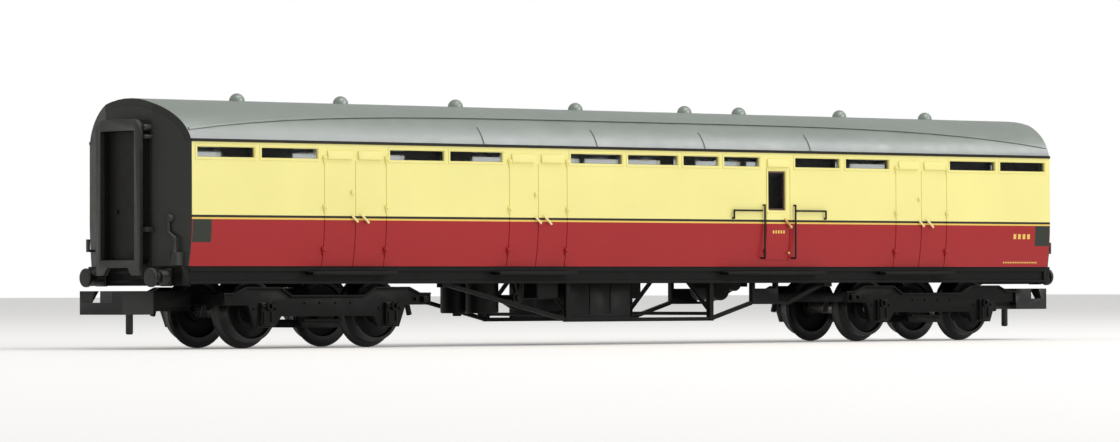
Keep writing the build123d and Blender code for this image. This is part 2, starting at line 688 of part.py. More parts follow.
def make_step():
    """A shelf in the line of the truss, with an open box between two uprights above it."""
    half = TRUSS_POST_BAR / 2
    low = -TRUSS_OFFSET - half
    high = -TRUSS_OFFSET + half
    top = STEP_FOOT + STEP_THICK
    step = block(STEP_START, STEP_END, low, high, STEP_FOOT, top)
    step += block(STEP_START, STEP_BOX_END, low, high, top, STEP_BOX_TOP)
    for x in (STEP_START, STEP_BOX_END - STEP_UPRIGHT):
        step += block(x, x + STEP_UPRIGHT, low, high, top, RIM_FOOT)
    return step


def make_truss_stays():
    """Stays at the front queen posts: one each side up to the floor, and a tie across."""
    reach = TRUSS_OFFSET - TRUSS_POST_BAR / 2
    stays = []
    for side in (-1, 1):
        stay = rod((TRUSS_POST, side * TRUSS_OFFSET, TIE_HEIGHT + STAY_RADIUS),
                   (TRUSS_POST, side * STAY_TOP_OFFSET, RIM_FOOT), STAY_RADIUS)
        inside = block(-FAR, FAR, -reach, reach, 0, RIM_FOOT - BEARER_DEPTH)
        stays.append(stay & inside)
    tie = lying_y(TIE_RADIUS, -reach, reach, TRUSS_POST, TIE_HEIGHT)
    return tie + stays


def make_battery_box(place, side):
    """A battery box with a lid line and upright ribs on its outer face."""
    x_low, x_high = place
    outer = side * BATTERY_OUTER
    y_low, y_high = sorted((outer, outer - side * BATTERY_DEPTH))
    box = block(x_low, x_high, y_low, y_high, BATTERY_FOOT, RIM_FOOT - BEARER_DEPTH)
    box = fillet(box.edges().filter_by(Axis.Z), EQUIPMENT_FILLET)
    line = RIM_FOOT - BEARER_DEPTH - BATTERY_LID
    faces = sorted((outer, outer - side * BATTERY_RIB))
    box -= block(x_low - FIT, x_high + FIT, faces[0], faces[1], line, line + BATTERY_RIB)
    for share in BATTERY_RIBS:
        x = x_low + (x_high - x_low) * share
        box -= block(x - BATTERY_RIB / 2, x + BATTERY_RIB / 2, faces[0], faces[1],
                     BATTERY_FOOT + BATTERY_LID / 2, line)
    return box


def make_vacuum_cylinders():
    """The two upright brake cylinders, side by side."""
    half = CYLINDER_SPACING / 2
    cylinder = upright(CYLINDER_RADIUS, CYLINDER_FOOT, RIM_FOOT, CYLINDER_PLACE, half)
    cylinder = fillet(cylinder.edges().group_by(Axis.Z)[0], EQUIPMENT_FILLET)
    cylinder += upright(JOURNAL_RADIUS, CYLINDER_FOOT - BATTERY_RIB * 2, CYLINDER_FOOT,
                        CYLINDER_PLACE, half)
    return group([cylinder, other_side(cylinder)])


def make_brake_shaft():
    """The cross shaft in its hangers, with two levers."""
    shaft = lying_y(SHAFT_RADIUS, -HANGER_OFFSET - HANGER_THICK, HANGER_OFFSET + HANGER_THICK,
                    SHAFT_PLACE, SHAFT_HEIGHT)
    lever = bar_in_side((SHAFT_PLACE, SHAFT_HEIGHT),
                        (SHAFT_PLACE + HANGER_SPREAD, SHAFT_HEIGHT - HANGER_SPREAD / 2),
                        2 * SHAFT_RADIUS, HANGER_THICK, CYLINDER_SPACING / 2)
    return shaft + lever + other_side(lever)


def make_v_hangers():
    """The two V-shaped hangers that carry the cross shaft."""
    hangers = []
    for side in (-1, 1):
        y = side * HANGER_OFFSET
        hub = lying_y(SHAFT_RADIUS + HANGER_BAR, y - HANGER_THICK / 2, y + HANGER_THICK / 2,
                      SHAFT_PLACE, SHAFT_HEIGHT)
        for way in (-1, 1):
            hub += bar_in_side((SHAFT_PLACE, SHAFT_HEIGHT),
                               (SHAFT_PLACE + way * HANGER_SPREAD / 2, RIM_FOOT + HANGER_BAR),
                               HANGER_BAR, HANGER_THICK, y)
        hub &= block(-FAR, FAR, -FAR, FAR, 0, RIM_FOOT)
        hub -= lying_y(SHAFT_RADIUS + ARC_GAP, -FAR, FAR, SHAFT_PLACE, SHAFT_HEIGHT)
        hangers.append(hub)
    return group(hangers)


def make_equipment_box(place, foot):
    """A plain rounded box that hangs from the floor."""
    box = block(*place, foot, RIM_FOOT)
    return fillet(box.edges().filter_by(Axis.Z) + box.edges().group_by(Axis.Z)[0],
                  EQUIPMENT_FILLET)


def make_dynamo():
    """The axle-driven dynamo and its belt pulley, on one bracket below the floor."""
    half = DYNAMO_LENGTH / 2
    dynamo = lying_y(DYNAMO_RADIUS, -half, half, DYNAMO_PLACE, DYNAMO_HEIGHT)
    dynamo = fillet(dynamo.edges().filter_by(GeomType.CIRCLE), EQUIPMENT_FILLET)
    dynamo += block(DYNAMO_PLACE - HANGER_SPREAD / 4, DYNAMO_PLACE + HANGER_SPREAD / 4,
                    -half / 2, half / 2, DYNAMO_HEIGHT, RIM_FOOT)
    pulley = lying_y(PULLEY_RADIUS, -half / 2, half / 2, PULLEY_PLACE, PULLEY_HEIGHT)
    arm = bar_in_side((DYNAMO_PLACE, DYNAMO_HEIGHT), (PULLEY_PLACE, PULLEY_HEIGHT),
                      HANGER_SPREAD / 4, HANGER_THICK, 0)
    return dynamo + pulley + arm


def make_handrails():
    """The guard's four wire handrails on the right-hand side."""
    rails = []
    for x in UPRIGHT_RAILS:
        out = side_offset(WAIST_HEIGHT) + RAIL_STANDOFF
        points = [(x, -side_offset(UPRIGHT_FOOT), UPRIGHT_FOOT), (x, -out, UPRIGHT_FOOT),
                  (x, -out, UPRIGHT_TOP), (x, -side_offset(UPRIGHT_TOP), UPRIGHT_TOP)]
        rails.append(pipe_along(points, RAIL_RADIUS) - body_prism(0))
    for inner, outer in LEVEL_RAILS:
        out = side_offset(LEVEL_HEIGHT) + RAIL_STANDOFF
        points = [(inner, -side_offset(LEVEL_HEIGHT), LEVEL_HEIGHT), (inner, -out, LEVEL_HEIGHT),
                  (outer, -out, LEVEL_HEIGHT), (outer, -out, LEVEL_END),
                  (outer, -side_offset(LEVEL_END), LEVEL_END)]
        rails.append(pipe_along(points, RAIL_RADIUS) - body_prism(0))
    return group(rails)


def wheel_station(end, axle):
    """Distance of an axle from mid length; end and axle are each -1 or 1."""
    return end * BOGIE_CENTRES / 2 + axle * WHEELBASE / 2


def make_wheel_pair(x):
    """Two flanged wheels facing each other on one axle."""
    back = BACK_TO_BACK / 2
    flange = TREAD_RADIUS + FLANGE_DEPTH
    recess = (WHEEL_WIDTH - WEB_THICK) / 2
    bore = AXLE_RADIUS + ARC_GAP
    rim = TREAD_RADIUS - RIM_DEPTH
    outline = [
        (bore, back), (HUB_RADIUS, back), (HUB_RADIUS, back + recess), (rim, back + recess),
        (rim, back), (flange - FLANGE_THICK / 3, back), (flange, back + FLANGE_THICK / 3),
        (flange - FLANGE_THICK / 3, back + FLANGE_THICK * 2 / 3),
        (TREAD_RADIUS, back + FLANGE_THICK), (TREAD_RADIUS - TREAD_CONE, WHEEL_OUTER),
        (rim, WHEEL_OUTER), (rim, WHEEL_OUTER - recess), (HUB_RADIUS, WHEEL_OUTER - recess),
        (HUB_RADIUS, WHEEL_OUTER), (bore, WHEEL_OUTER),
    ]
    wheel = revolve(make_face(Polyline(*outline, close=True)), Axis.Y)
    placed = Pos(x, 0, AXLE_HEIGHT) * wheel
    return group([placed, other_side(placed)])


def make_axle(x):
    """A plain axle, with a thin journal at each end that runs in the side frame."""
    shoulder = WHEEL_OUTER + FIT
    tip = FRAME_INNER + JOURNAL_REACH
    axle = lying_y(AXLE_RADIUS, -shoulder, shoulder, x, AXLE_HEIGHT)
    return axle + lying_y(JOURNAL_RADIUS, -tip, tip, x, AXLE_HEIGHT)


def side_frame(centre):
    """The right-hand pressed side frame, humped over each axlebox."""
    axle = WHEELBASE / 2
    horn = HORN_SPREAD / 2
    tip = HORN_FOOT_SPREAD / 2
    hump = (axle + HUMP_OUTWARD, axle - HUMP_INWARD)
    ramp = (hump[0] + HUMP_RAMP, hump[1] - HUMP_RAMP)
    half = [
        (BOGIE_HALF_LENGTH, FRAME_END_FOOT), (BOGIE_HALF_LENGTH, FRAME_END_TOP),
        (ramp[0], FRAME_END_TOP), (hump[0], FRAME_HUMP_TOP), (hump[1], FRAME_HUMP_TOP),
        (ramp[1], FRAME_MIDDLE_TOP),
    ]
    below = [
        (-axle + horn, FRAME_MIDDLE_FOOT), (-axle + tip, HORN_FOOT),
        (-axle - tip, HORN_FOOT), (-axle - horn, FRAME_END_FOOT),
    ]
    top = half + [(-x, z) for x, z in reversed(half)]
    foot = [(x, z) for x, z in reversed(below)] + [(-x, z) for x, z in below]
    outline = [(centre + x, z) for x, z in top + foot]
    face = Plane.XZ.offset(FRAME_INNER) * make_face(Polyline(*outline, close=True))
    frame = extrude(face, FRAME_THICK)
    outer = -FRAME_INNER - FRAME_THICK
    for side in (-1, 1):
        x = centre + side * axle
        box = block(x - AXLEBOX_WIDTH / 2, x + AXLEBOX_WIDTH / 2, outer - AXLEBOX_PROUD, outer,
                    AXLEBOX_FOOT, AXLEBOX_TOP)
        frame += fillet(box.edges().group_by(Axis.Y)[0], EQUIPMENT_FILLET)
        frame -= lying_y(JOURNAL_RADIUS + RUNNING_FIT, -FRAME_INNER - JOURNAL_REACH - FIT,
                         0, x, AXLE_HEIGHT)
    return frame


def coupler_pocket(end_beam):
    """The box in front of the bogie that holds the coupler's shank, open below."""
    room = block(end_beam + POCKET_WALL, POCKET_FRONT - POCKET_WALL,
                 -POCKET_HALF_WIDTH + POCKET_WALL, POCKET_HALF_WIDTH - POCKET_WALL,
                 POCKET_FOOT, SHANK_TOP + POCKET_PLAY)
    mouth = block(HINGE_PLACE, POCKET_FRONT, -SHANK_HALF_WIDTH - POCKET_PLAY / 2,
                  SHANK_HALF_WIDTH + POCKET_PLAY / 2, POCKET_FOOT, SHANK_TOP + POCKET_PLAY)
    pocket = block(end_beam, POCKET_FRONT, -POCKET_HALF_WIDTH, POCKET_HALF_WIDTH,
                   POCKET_FOOT, POCKET_TOP)
    return pocket - room - mouth


def make_bogie_frame():
    """The front bogie moulding: side frames, end beams, bolster and coupler pocket."""
    centre = BOGIE_CENTRES / 2
    frame = side_frame(centre)
    frame += other_side(frame)
    for end in (-1, 1):
        outer = centre + end * BOGIE_HALF_LENGTH
        inner = outer - end * BEAM_THICK
        faces = sorted((outer, inner))
        frame += block(faces[0], faces[1], -FRAME_INNER, FRAME_INNER, BEAM_FOOT, BEAM_TOP)
        for side in (-1, 1):
            y = side * GUARD_IRON_OFFSET
            middle = (outer + inner) / 2
            frame += bar_in_side((middle, BEAM_FOOT + GUARD_IRON),
                                 (middle + end * GUARD_IRON, GUARD_IRON_FOOT),
                                 GUARD_IRON, GUARD_IRON, y)
    half = BOLSTER_LENGTH / 2
    frame += block(centre - half, centre + half, -FRAME_INNER, FRAME_INNER,
                   BOLSTER_FOOT, BOLSTER_TOP)
    frame += upright(BOGIE_BOSS_RADIUS, BOLSTER_TOP, BOGIE_BOSS_TOP, centre, 0)
    frame -= upright(PIVOT_RADIUS + RUNNING_FIT, 0, FAR, centre, 0)
    plank = PLANK_LENGTH / 2
    frame += block(centre - plank, centre + plank, -PLANK_WIDTH / 2, PLANK_WIDTH / 2,
                   PLANK_FOOT, PLANK_TOP)
    for way in (-1, 1):
        for side in (-1, 1):
            x = centre + way * (plank - SWING_LINK / 2)
            y = side * (PLANK_WIDTH / 2 - SWING_LINK / 2)
            frame += block(x - SWING_LINK / 2, x + SWING_LINK / 2, y - SWING_LINK / 2,
                           y + SWING_LINK / 2, PLANK_TOP, BOLSTER_FOOT)
    return frame + coupler_pocket(BOGIE_END)


def make_pivot():
    """The shouldered screw that the front bogie swings on."""
    centre = BOGIE_CENTRES / 2
    head_top = BOLSTER_FOOT - PIVOT_GAP
    head_foot = head_top - PIVOT_HEAD_THICK
    screw = upright(PIVOT_HEAD_RADIUS, head_foot, head_top, centre, 0)
    screw += upright(PIVOT_RADIUS, head_top, pivot_top(), centre, 0)
    slot = block(centre - FAR, centre + FAR, -PIVOT_SLOT / 2, PIVOT_SLOT / 2,
                 head_foot, head_foot + PIVOT_HEAD_THICK / 2)
    return screw - slot


def make_keeper():
    """The plate under the front pocket that keeps the coupler in."""
    return block(BOGIE_END, POCKET_FRONT, -POCKET_HALF_WIDTH, POCKET_HALF_WIDTH,
                 POCKET_FOOT - KEEPER_THICK, POCKET_FOOT)


def make_coupler_spring():
    """The coil that presses the shank against the front of its pocket."""
    start = BOGIE_END + POCKET_WALL
    end = HINGE_PLACE - SHANK_TEE / 2 - POCKET_PLAY / 2
    length = end - start - 4 * SPRING_WIRE
    coil = Helix(length / SPRING_TURNS, length, SPRING_RADIUS)
    section = Plane(origin=coil @ 0, z_dir=coil % 0) * Circle(SPRING_WIRE)
    spring = sweep(section, coil, is_frenet=True)
    return Pos(start + 2 * SPRING_WIRE, 0, HINGE_HEIGHT) * Rot(0, 90, 0) * spring


def make_coupler():
    """The front hook: a deck with a wall, a side arm, a leaning horn, a shank and a tail pin."""
    width = COUPLER_HALF_WIDTH
    lean = (COUPLER_FRONT - COUPLER_ARM_FRONT) / (2 * width)
    plan = [(COUPLER_BACK, -width), (COUPLER_FRONT, -width),
            (COUPLER_ARM_FRONT, width), (COUPLER_BACK, width)]
    deck = Pos(0, 0, COUPLER_FOOT) * extrude(make_face(Polyline(*plan, close=True)),
                                            COUPLER_DECK - COUPLER_FOOT)
    arm_side = width - COUPLER_ARM
    arm_corner = COUPLER_ARM_FRONT + lean * COUPLER_ARM
    arm_plan = [(COUPLER_BACK, arm_side), (arm_corner, arm_side),
                (COUPLER_ARM_FRONT, width), (COUPLER_BACK, width)]
    arm = Pos(0, 0, COUPLER_DECK) * extrude(make_face(Polyline(*arm_plan, close=True)),
                                           COUPLER_TOP - COUPLER_DECK)
    wall = block(COUPLER_BACK, COUPLER_WALL, -width, width, COUPLER_DECK, COUPLER_TOP)
    horn_inner = -width + HORN_WIDTH
    front_inner = COUPLER_FRONT - lean * HORN_WIDTH
    horn_foot = [(COUPLER_FRONT - HORN_LENGTH + HORN_LEAN, -width), (COUPLER_FRONT, -width),
                 (front_inner, horn_inner - HORN_LEAN),
                 (COUPLER_FRONT - HORN_LENGTH + HORN_LEAN, horn_inner - 2 * HORN_LEAN)]
    horn_head = [(COUPLER_FRONT - HORN_LENGTH, -width), (COUPLER_FRONT, -width),
                 (front_inner, horn_inner), (COUPLER_FRONT - HORN_LENGTH, horn_inner - HORN_LEAN)]
    horn = loft([Pos(0, 0, COUPLER_DECK) * make_face(Polyline(*horn_foot, close=True)),
                 Pos(0, 0, COUPLER_TOP) * make_face(Polyline(*horn_head, close=True))],
                ruled=True)
    shank = block(HINGE_PLACE, COUPLER_BACK, -SHANK_HALF_WIDTH, SHANK_HALF_WIDTH, SHANK_FOOT, SHANK_TOP)
    cross = lying_y(SHANK_TEE / 2, -SHANK_TEE_HALF_WIDTH, SHANK_TEE_HALF_WIDTH, HINGE_PLACE,
                    HINGE_HEIGHT)
    tail = upright(TAIL_RADIUS, TAIL_FOOT, COUPLER_FOOT, TAIL_PLACE, 0)
    tail = fillet(tail.edges().group_by(Axis.Z)[0], TAIL_RADIUS / 2)
    neck = block(COUPLER_BACK, COUPLER_BACK + NECK_LENGTH, -SHANK_HALF_WIDTH, SHANK_HALF_WIDTH,
                 COUPLER_FOOT, SHANK_TOP)
    return deck + arm + wall + horn + shank + cross + neck + tail


def make_buffers():
    """The front pair of buffers, each pushed into its hole in the headstock."""
    seat = HALF + END_BOW / 2
    pair = []
    for side in (-1, 1):
        y = side * BUFFER_OFFSET
        half = BUFFER_BASE / 2
        buffer = block(seat, seat + BUFFER_BASE_THICK, y - half, y + half,
                       BUFFER_HEIGHT - half, BUFFER_HEIGHT + half)
        buffer += lying_x(BUFFER_SPIGOT_RADIUS, seat - BUFFER_SPIGOT_LENGTH, seat, y,
                          BUFFER_HEIGHT)
        buffer += lying_x(BUFFER_HOUSING_RADIUS, seat, seat + BUFFER_HOUSING_LENGTH, y,
                          BUFFER_HEIGHT)
        buffer += lying_x(BUFFER_SHANK_RADIUS, seat, BUFFER_FACE, y, BUFFER_HEIGHT)
        head = lying_x(BUFFER_HEAD_RADIUS, BUFFER_FACE - BUFFER_HEAD_THICK, BUFFER_FACE, y,
                       BUFFER_HEIGHT)
        head = fillet(head.edges().group_by(Axis.X)[-1], BUFFER_HEAD_THICK / 3)
        pair.append(buffer + head)
    return group(pair)


def gangway_column(half_width, foot, top, corner, x_low, x_high):
    """An upright slab across the coach with rounded upper corners."""
    slab = block(x_low, x_high, -half_width, half_width, foot, top)
    upper = slab.edges().filter_by(Axis.X).group_by(Axis.Z)[-1]
    return fillet(upper, corner)


def gangway_opening(gap):
    """The way through the gangway, made smaller all round by a gap."""
    half = GANGWAY_OPENING_WIDTH / 2 - gap
    return block(0, FAR, -half, half, GANGWAY_OPENING_FOOT + gap, GANGWAY_OPENING_TOP - gap)


def make_gangway_plate():
    """The front face plate of the gangway, notched between its feet."""
    back = GANGWAY_FACE - GANGWAY_PLATE_THICK
    plate = gangway_column(GANGWAY_PLATE_WIDTH / 2, GANGWAY_PLATE_FOOT, GANGWAY_PLATE_TOP,
                           GANGWAY_CORNER, back, GANGWAY_FACE)
    notch = [(-GANGWAY_NOTCH_FOOT / 2, 0), (GANGWAY_NOTCH_FOOT / 2, 0),
             (GANGWAY_NOTCH_FOOT / 2, GANGWAY_PLATE_FOOT),
             (GANGWAY_NOTCH_HEAD / 2, GANGWAY_NOTCH_TOP),
             (-GANGWAY_NOTCH_HEAD / 2, GANGWAY_NOTCH_TOP),
             (-GANGWAY_NOTCH_FOOT / 2, GANGWAY_PLATE_FOOT)]
    cut = extrude(Plane.YZ * make_face(Polyline(*notch, close=True)), FAR)
    return plate - gangway_opening(0) - cut


def make_bellows():
    """The front bellows, between the body end and the face plate."""
    back = GANGWAY_FACE - GANGWAY_PLATE_THICK
    ring = gangway_column(BELLOWS_WIDTH / 2, BELLOWS_FOOT, BELLOWS_TOP, GANGWAY_CORNER,
                          HALF, back)
    below_roof = body_prism(-FAR / 4) + roof_prism(0)
    return ring - gangway_opening(0) - (bowed_plan() & below_roof)


def make_gangway_door():
    """The closed door at the back of the front gangway, with its knob."""
    back = HALF + END_BOW + FIT
    front = back + GANGWAY_DOOR_THICK
    door = gangway_opening(FIT) & block(back, front, -FAR, FAR, 0, FAR)
    knob = lying_x(KNOB_RADIUS, front, front + KNOB_RADIUS, -GANGWAY_OPENING_WIDTH / 4,
                   KNOB_HEIGHT)
    return door + knob


def make_gangway_fittings():
    """Spring rollers and step brackets beside the front bellows."""
    front = GANGWAY_FACE - GANGWAY_PLATE_THICK
    side = BELLOWS_WIDTH / 2
    pieces = []
    for way in (-1, 1):
        for radius, height in ((ROLLER_RADIUS, ROLLER_HEIGHT),
                               (LOWER_ROLLER_RADIUS, LOWER_ROLLER_HEIGHT)):
            y = way * (side + radius + FIT)
            if height > BELLOWS_TOP - GANGWAY_CORNER:
                y = way * (side + FIT)
            roller = lying_x(radius, HALF, front, y, height)
            bellows = gangway_column(side + FIT / 2, BELLOWS_FOOT, BELLOWS_TOP,
                                     GANGWAY_CORNER, 0, FAR)
            pieces.append(roller - bowed_plan() - bellows)
        length, width, height = STEP_SIZE
        faces = sorted((way * (side + FIT / 2), way * (side + width)))
        pieces.append(block(front - length, front, faces[0], faces[1],
                            STEP_HEIGHT, STEP_HEIGHT + height))
    return group(pieces)


def make_end_pipe():
    """The bent pipe on the front end, from its flange down to its box."""
    clear = PIPE_RADIUS + ARC_GAP
    y_top, z_top = PIPE_TOP
    y_foot, z_foot = PIPE_FOOT
    x = end_offset(y_top) + clear
    points = [(x, y_top, z_top), (x, y_top, z_top - PIPE_STRAIGHT),
              (x, y_foot, z_foot + PIPE_STRAIGHT), (x, y_foot, z_foot)]
    pipe = pipe_along(points, PIPE_RADIUS)
    flange = lying_x(PIPE_FLANGE_RADIUS, HALF, x + PIPE_RADIUS, y_top, z_top)
    width, height = PIPE_BOX
    box = block(HALF, x + PIPE_RADIUS, y_foot - width / 2, y_foot + width / 2,
                z_foot - height, z_foot)
    return (pipe + flange + box) - bowed_plan()


def make_lamp_iron():
    """The bracket for a lamp, low on the front end."""
    y, z = LAMP_IRON
    length, width, height = LAMP_IRON_SIZE
    back = end_offset(y)
    foot = block(HALF, back + length, -y - width / 2, -y + width / 2, z, z + width / 2)
    blade = block(back + length - width / 2, back + length, -y - width / 2, -y + width / 2,
                  z, z + height)
    return foot + blade - bowed_plan()


def save_sides(names, shape):
    """Writes a right-hand piece and its mirror image on the left."""
    right, left = names
    save(shape, right)
    save(other_side(shape), left)


def save_ends(name, shape):
    """Writes a front piece and the same piece at the rear."""
    save(shape, f"{name}_front")
    save(other_end(shape), f"{name}_rear")


save(make_body_shell(), "body_shell")
save(make_roof(), "roof")
save(make_roof_vents(), "roof_vents")
save_sides(("glazing_right", "glazing_left"), make_glazing())
save(make_interior(), "interior")
save(make_ballast(), "ballast_weight")
save(make_chassis(), "chassis")
save_sides(("footboards_right", "footboards_left"), make_footboards())
save_sides(("truss_right", "truss_left"), make_truss())
save_ends("truss_stays", make_truss_stays())
save(make_battery_box(BATTERY_RIGHT, -1), "battery_box_right")
save(make_battery_box(BATTERY_LEFT, 1), "battery_box_left")
save(make_vacuum_cylinders(), "vacuum_cylinders")
save(make_brake_shaft(), "brake_shaft")
save(make_v_hangers(), "v_hangers")
save(make_equipment_box(REGULATOR_BOX, REGULATOR_FOOT), "regulator_box")
save(make_equipment_box(SWITCH_BOX, SWITCH_FOOT), "switch_box")
save(make_dynamo(), "dynamo")
save_sides(("handrails_right", "handrails_left"), make_handrails())
save_ends("buffers", make_buffers())
save_ends("gangway_plate", make_gangway_plate())
save_ends("gangway_bellows", make_bellows())
save_ends("gangway_door", make_gangway_door())
save_ends("gangway_fittings", make_gangway_fittings())
save_ends("end_pipe", make_end_pipe())
save_ends("lamp_iron", make_lamp_iron())
save_ends("bogie_frame", make_bogie_frame())
save_ends("bogie_pivot", make_pivot())
save_ends("coupler_keeper", make_keeper())
save_ends("coupler_spring", make_coupler_spring())
save_ends("coupler_hook", make_coupler())

WHEELSETS = [(1, 1), (1, -1), (-1, 1), (-1, -1)]
for number, (end, axle) in enumerate(WHEELSETS, start=1):
    station = wheel_station(end, axle)
    save(make_axle(station), f"axle_{number}")
    save(make_wheel_pair(station), f"wheels_{number}")
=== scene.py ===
# %% [markdown]
# A nine millimetre gauge model of a passenger train's brake van, in two-colour livery.
# The measured solids arrive first, each in its place. Everything after this cell either
# gives one of those solids a finish, or adds the small raised details that sit on it.

# %% Load the measured solids
import json
from math import atan2, cos, pi, radians, sin, sqrt

import bmesh
import bpy
from mathutils import Matrix, Vector

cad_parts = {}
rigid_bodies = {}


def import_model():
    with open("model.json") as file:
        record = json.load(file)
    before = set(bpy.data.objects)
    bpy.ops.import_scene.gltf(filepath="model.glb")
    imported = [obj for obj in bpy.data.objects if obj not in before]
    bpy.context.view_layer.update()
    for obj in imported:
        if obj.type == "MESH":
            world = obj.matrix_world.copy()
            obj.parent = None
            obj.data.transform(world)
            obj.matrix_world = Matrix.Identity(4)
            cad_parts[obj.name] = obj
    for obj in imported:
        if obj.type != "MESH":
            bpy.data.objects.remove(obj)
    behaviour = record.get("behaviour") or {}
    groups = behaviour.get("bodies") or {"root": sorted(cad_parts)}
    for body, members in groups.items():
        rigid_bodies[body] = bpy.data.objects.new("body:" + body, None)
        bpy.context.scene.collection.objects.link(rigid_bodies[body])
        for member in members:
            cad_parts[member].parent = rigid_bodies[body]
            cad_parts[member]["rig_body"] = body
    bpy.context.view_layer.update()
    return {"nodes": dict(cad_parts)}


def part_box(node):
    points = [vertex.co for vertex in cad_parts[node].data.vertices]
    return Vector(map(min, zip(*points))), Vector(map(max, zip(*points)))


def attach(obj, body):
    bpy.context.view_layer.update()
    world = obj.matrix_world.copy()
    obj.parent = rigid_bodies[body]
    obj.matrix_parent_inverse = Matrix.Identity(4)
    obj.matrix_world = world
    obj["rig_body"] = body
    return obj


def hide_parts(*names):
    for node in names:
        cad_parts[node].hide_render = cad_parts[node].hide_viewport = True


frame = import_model()
nodes = frame["nodes"]

# %% [markdown]
# The van is small, so sizes are easiest to read in millimetres. Heights are measured
# above the rail, and the wheel flanges reach a little lower, so a helper adds that depth.

# %% Units and heights
MM = 0.001
FLANGE_DEPTH = 0.65
BODY_BOTTOM = 8.3
WAIST = 13.77
EAVES = 21.63
HALF_WAIST = 9.3
BOTTOM_TUCK = 0.575
EAVES_LEAN = 0.045


def point(x, y, z):
    """A place in metres, from millimetres along, across and above the rail."""
    return Vector((x, y, z + FLANGE_DEPTH)) * MM


def side_offset(height):
    """Half the body's width at a height: curved in below the waist, leaning in above."""
    below = WAIST - height
    if below > 0:
        fall = WAIST - BODY_BOTTOM
        radius = (fall**2 + BOTTOM_TUCK**2) / (2 * BOTTOM_TUCK)
        return HALF_WAIST - radius + sqrt(radius**2 - below**2)
    return HALF_WAIST + EAVES_LEAN * below / (EAVES - WAIST)


print("half width at the waist and at the foot:", side_offset(WAIST), side_offset(BODY_BOTTOM))

# %% [markdown]
# The camera stands low beside the rear corner and looks along the van with a long lens,
# so that the upright lines stay upright. It is placed by a direction and a distance
# from a point on the van, which is easier to adjust than three coordinates.

# %% Camera
AIM = point(-5.69, 0.225, 13.60)
AZIMUTH, ELEVATION, ROLL = radians(-41.06), radians(-0.73), radians(-0.148)
CAMERA_DISTANCE = 0.6111
LENS = 170.0
SENSOR = 36.0

back = Vector((sin(AZIMUTH) * cos(ELEVATION), -cos(AZIMUTH) * cos(ELEVATION), sin(ELEVATION)))
right = (-back).cross(Vector((0, 0, 1))).normalized()
up = right.cross(-back)
rolled_right = cos(ROLL) * right + sin(ROLL) * up
rolled_up = -sin(ROLL) * right + cos(ROLL) * up
camera = bpy.data.objects.new("camera", bpy.data.cameras.new("camera"))
bpy.context.scene.collection.objects.link(camera)
camera.data.lens = LENS
camera.data.sensor_width = SENSOR
camera.data.clip_start = 0.01
camera.data.clip_end = 20.0
turn = Matrix((rolled_right, rolled_up, back)).transposed().to_4x4()
camera.matrix_world = Matrix.Translation(AIM + back * CAMERA_DISTANCE) @ turn
bpy.context.scene.camera = camera
print("camera at", tuple(round(v, 3) for v in camera.matrix_world.translation))

# %% [markdown]
# A studio table is a pale sheet lit by large soft lamps. Large lamps give the long,
# gentle highlights that show the curve of the roof, and a pale world fills the shadows.
# The world looks white to the camera but lights the van at half that strength.
# The colours are shown as they are, without a film-like curve.

# %% Floor and light
bpy.context.scene.view_settings.view_transform = "Standard"


def linear(red, green, blue):
    """A colour for the shader, from the usual 0 to 255 numbers."""
    def one(value):
        value /= 255
        return value / 12.92 if value <= 0.04045 else ((value + 0.055) / 1.055) ** 2.4
    return (one(red), one(green), one(blue), 1.0)


def node_material(name):
    """An empty material, with its node tree and its main shader."""
    material = bpy.data.materials.new(name)
    material.use_nodes = True
    return material, material.node_tree, material.node_tree.nodes["Principled BSDF"]


FLOOR_SIZE = 6.0
floor_mesh = bpy.data.meshes.new("floor")
floor_bm = bmesh.new()
bmesh.ops.create_grid(floor_bm, x_segments=1, y_segments=1, size=FLOOR_SIZE / 2)
floor_bm.to_mesh(floor_mesh)
floor_bm.free()
floor = bpy.data.objects.new("floor", floor_mesh)
bpy.context.scene.collection.objects.link(floor)
floor_material, _, floor_shader = node_material("pale_floor")
floor_shader.inputs["Base Color"].default_value = linear(250, 249, 247)
floor_shader.inputs["Emission Color"].default_value = (1.0, 1.0, 1.0, 1.0)
floor_shader.inputs["Emission Strength"].default_value = 0.15
floor_shader.inputs["Roughness"].default_value = 0.7
floor_mesh.materials.append(floor_material)

world = bpy.data.worlds.new("studio")
bpy.context.scene.world = world
world.use_nodes = True
BACKDROP, FILL = 1.0, 0.52
sky = world.node_tree.nodes["Background"]
sky.inputs["Color"].default_value = (1.0, 1.0, 1.0, 1.0)
seen = world.node_tree.nodes.new("ShaderNodeLightPath")
strength = world.node_tree.nodes.new("ShaderNodeMapRange")
strength.inputs["To Min"].default_value = FILL
strength.inputs["To Max"].default_value = BACKDROP
world.node_tree.links.new(seen.outputs["Is Camera Ray"], strength.inputs["Value"])
world.node_tree.links.new(strength.outputs["Result"], sky.inputs["Strength"])


def soft_lamp(name, place, aim, size, power):
    """A rectangular area lamp that faces a point."""
    data = bpy.data.lights.new(name, "AREA")
    data.shape = "RECTANGLE"
    data.size, data.size_y = size
    data.energy = power
    lamp = bpy.data.objects.new(name, data)
    bpy.context.scene.collection.objects.link(lamp)
    lamp.rotation_euler = (Vector(aim) - Vector(place)).to_track_quat("-Z", "Y").to_euler()
    lamp.location = place


soft_lamp("lamp_above", (0.05, -0.25, 0.55), (0, 0, 0.01), (0.6, 0.35), 1.25)
soft_lamp("lamp_side", (0.25, -0.6, 0.25), (0, 0, 0.015), (0.5, 0.3), 1.2)
soft_lamp("lamp_end", (0.36, -0.19, 0.3), (0.04, -0.01, 0.02), (0.2, 0.12), 0.22)

# %% [markdown]
# Every finish here is paint or moulded plastic, and none of it is perfectly even. One
# recipe serves them all: the colour drifts a little over large patches, the gloss drifts
# with it, and a very fine grain roughens the surface. Noise on Object coordinates keeps
# each pattern fixed to its piece.

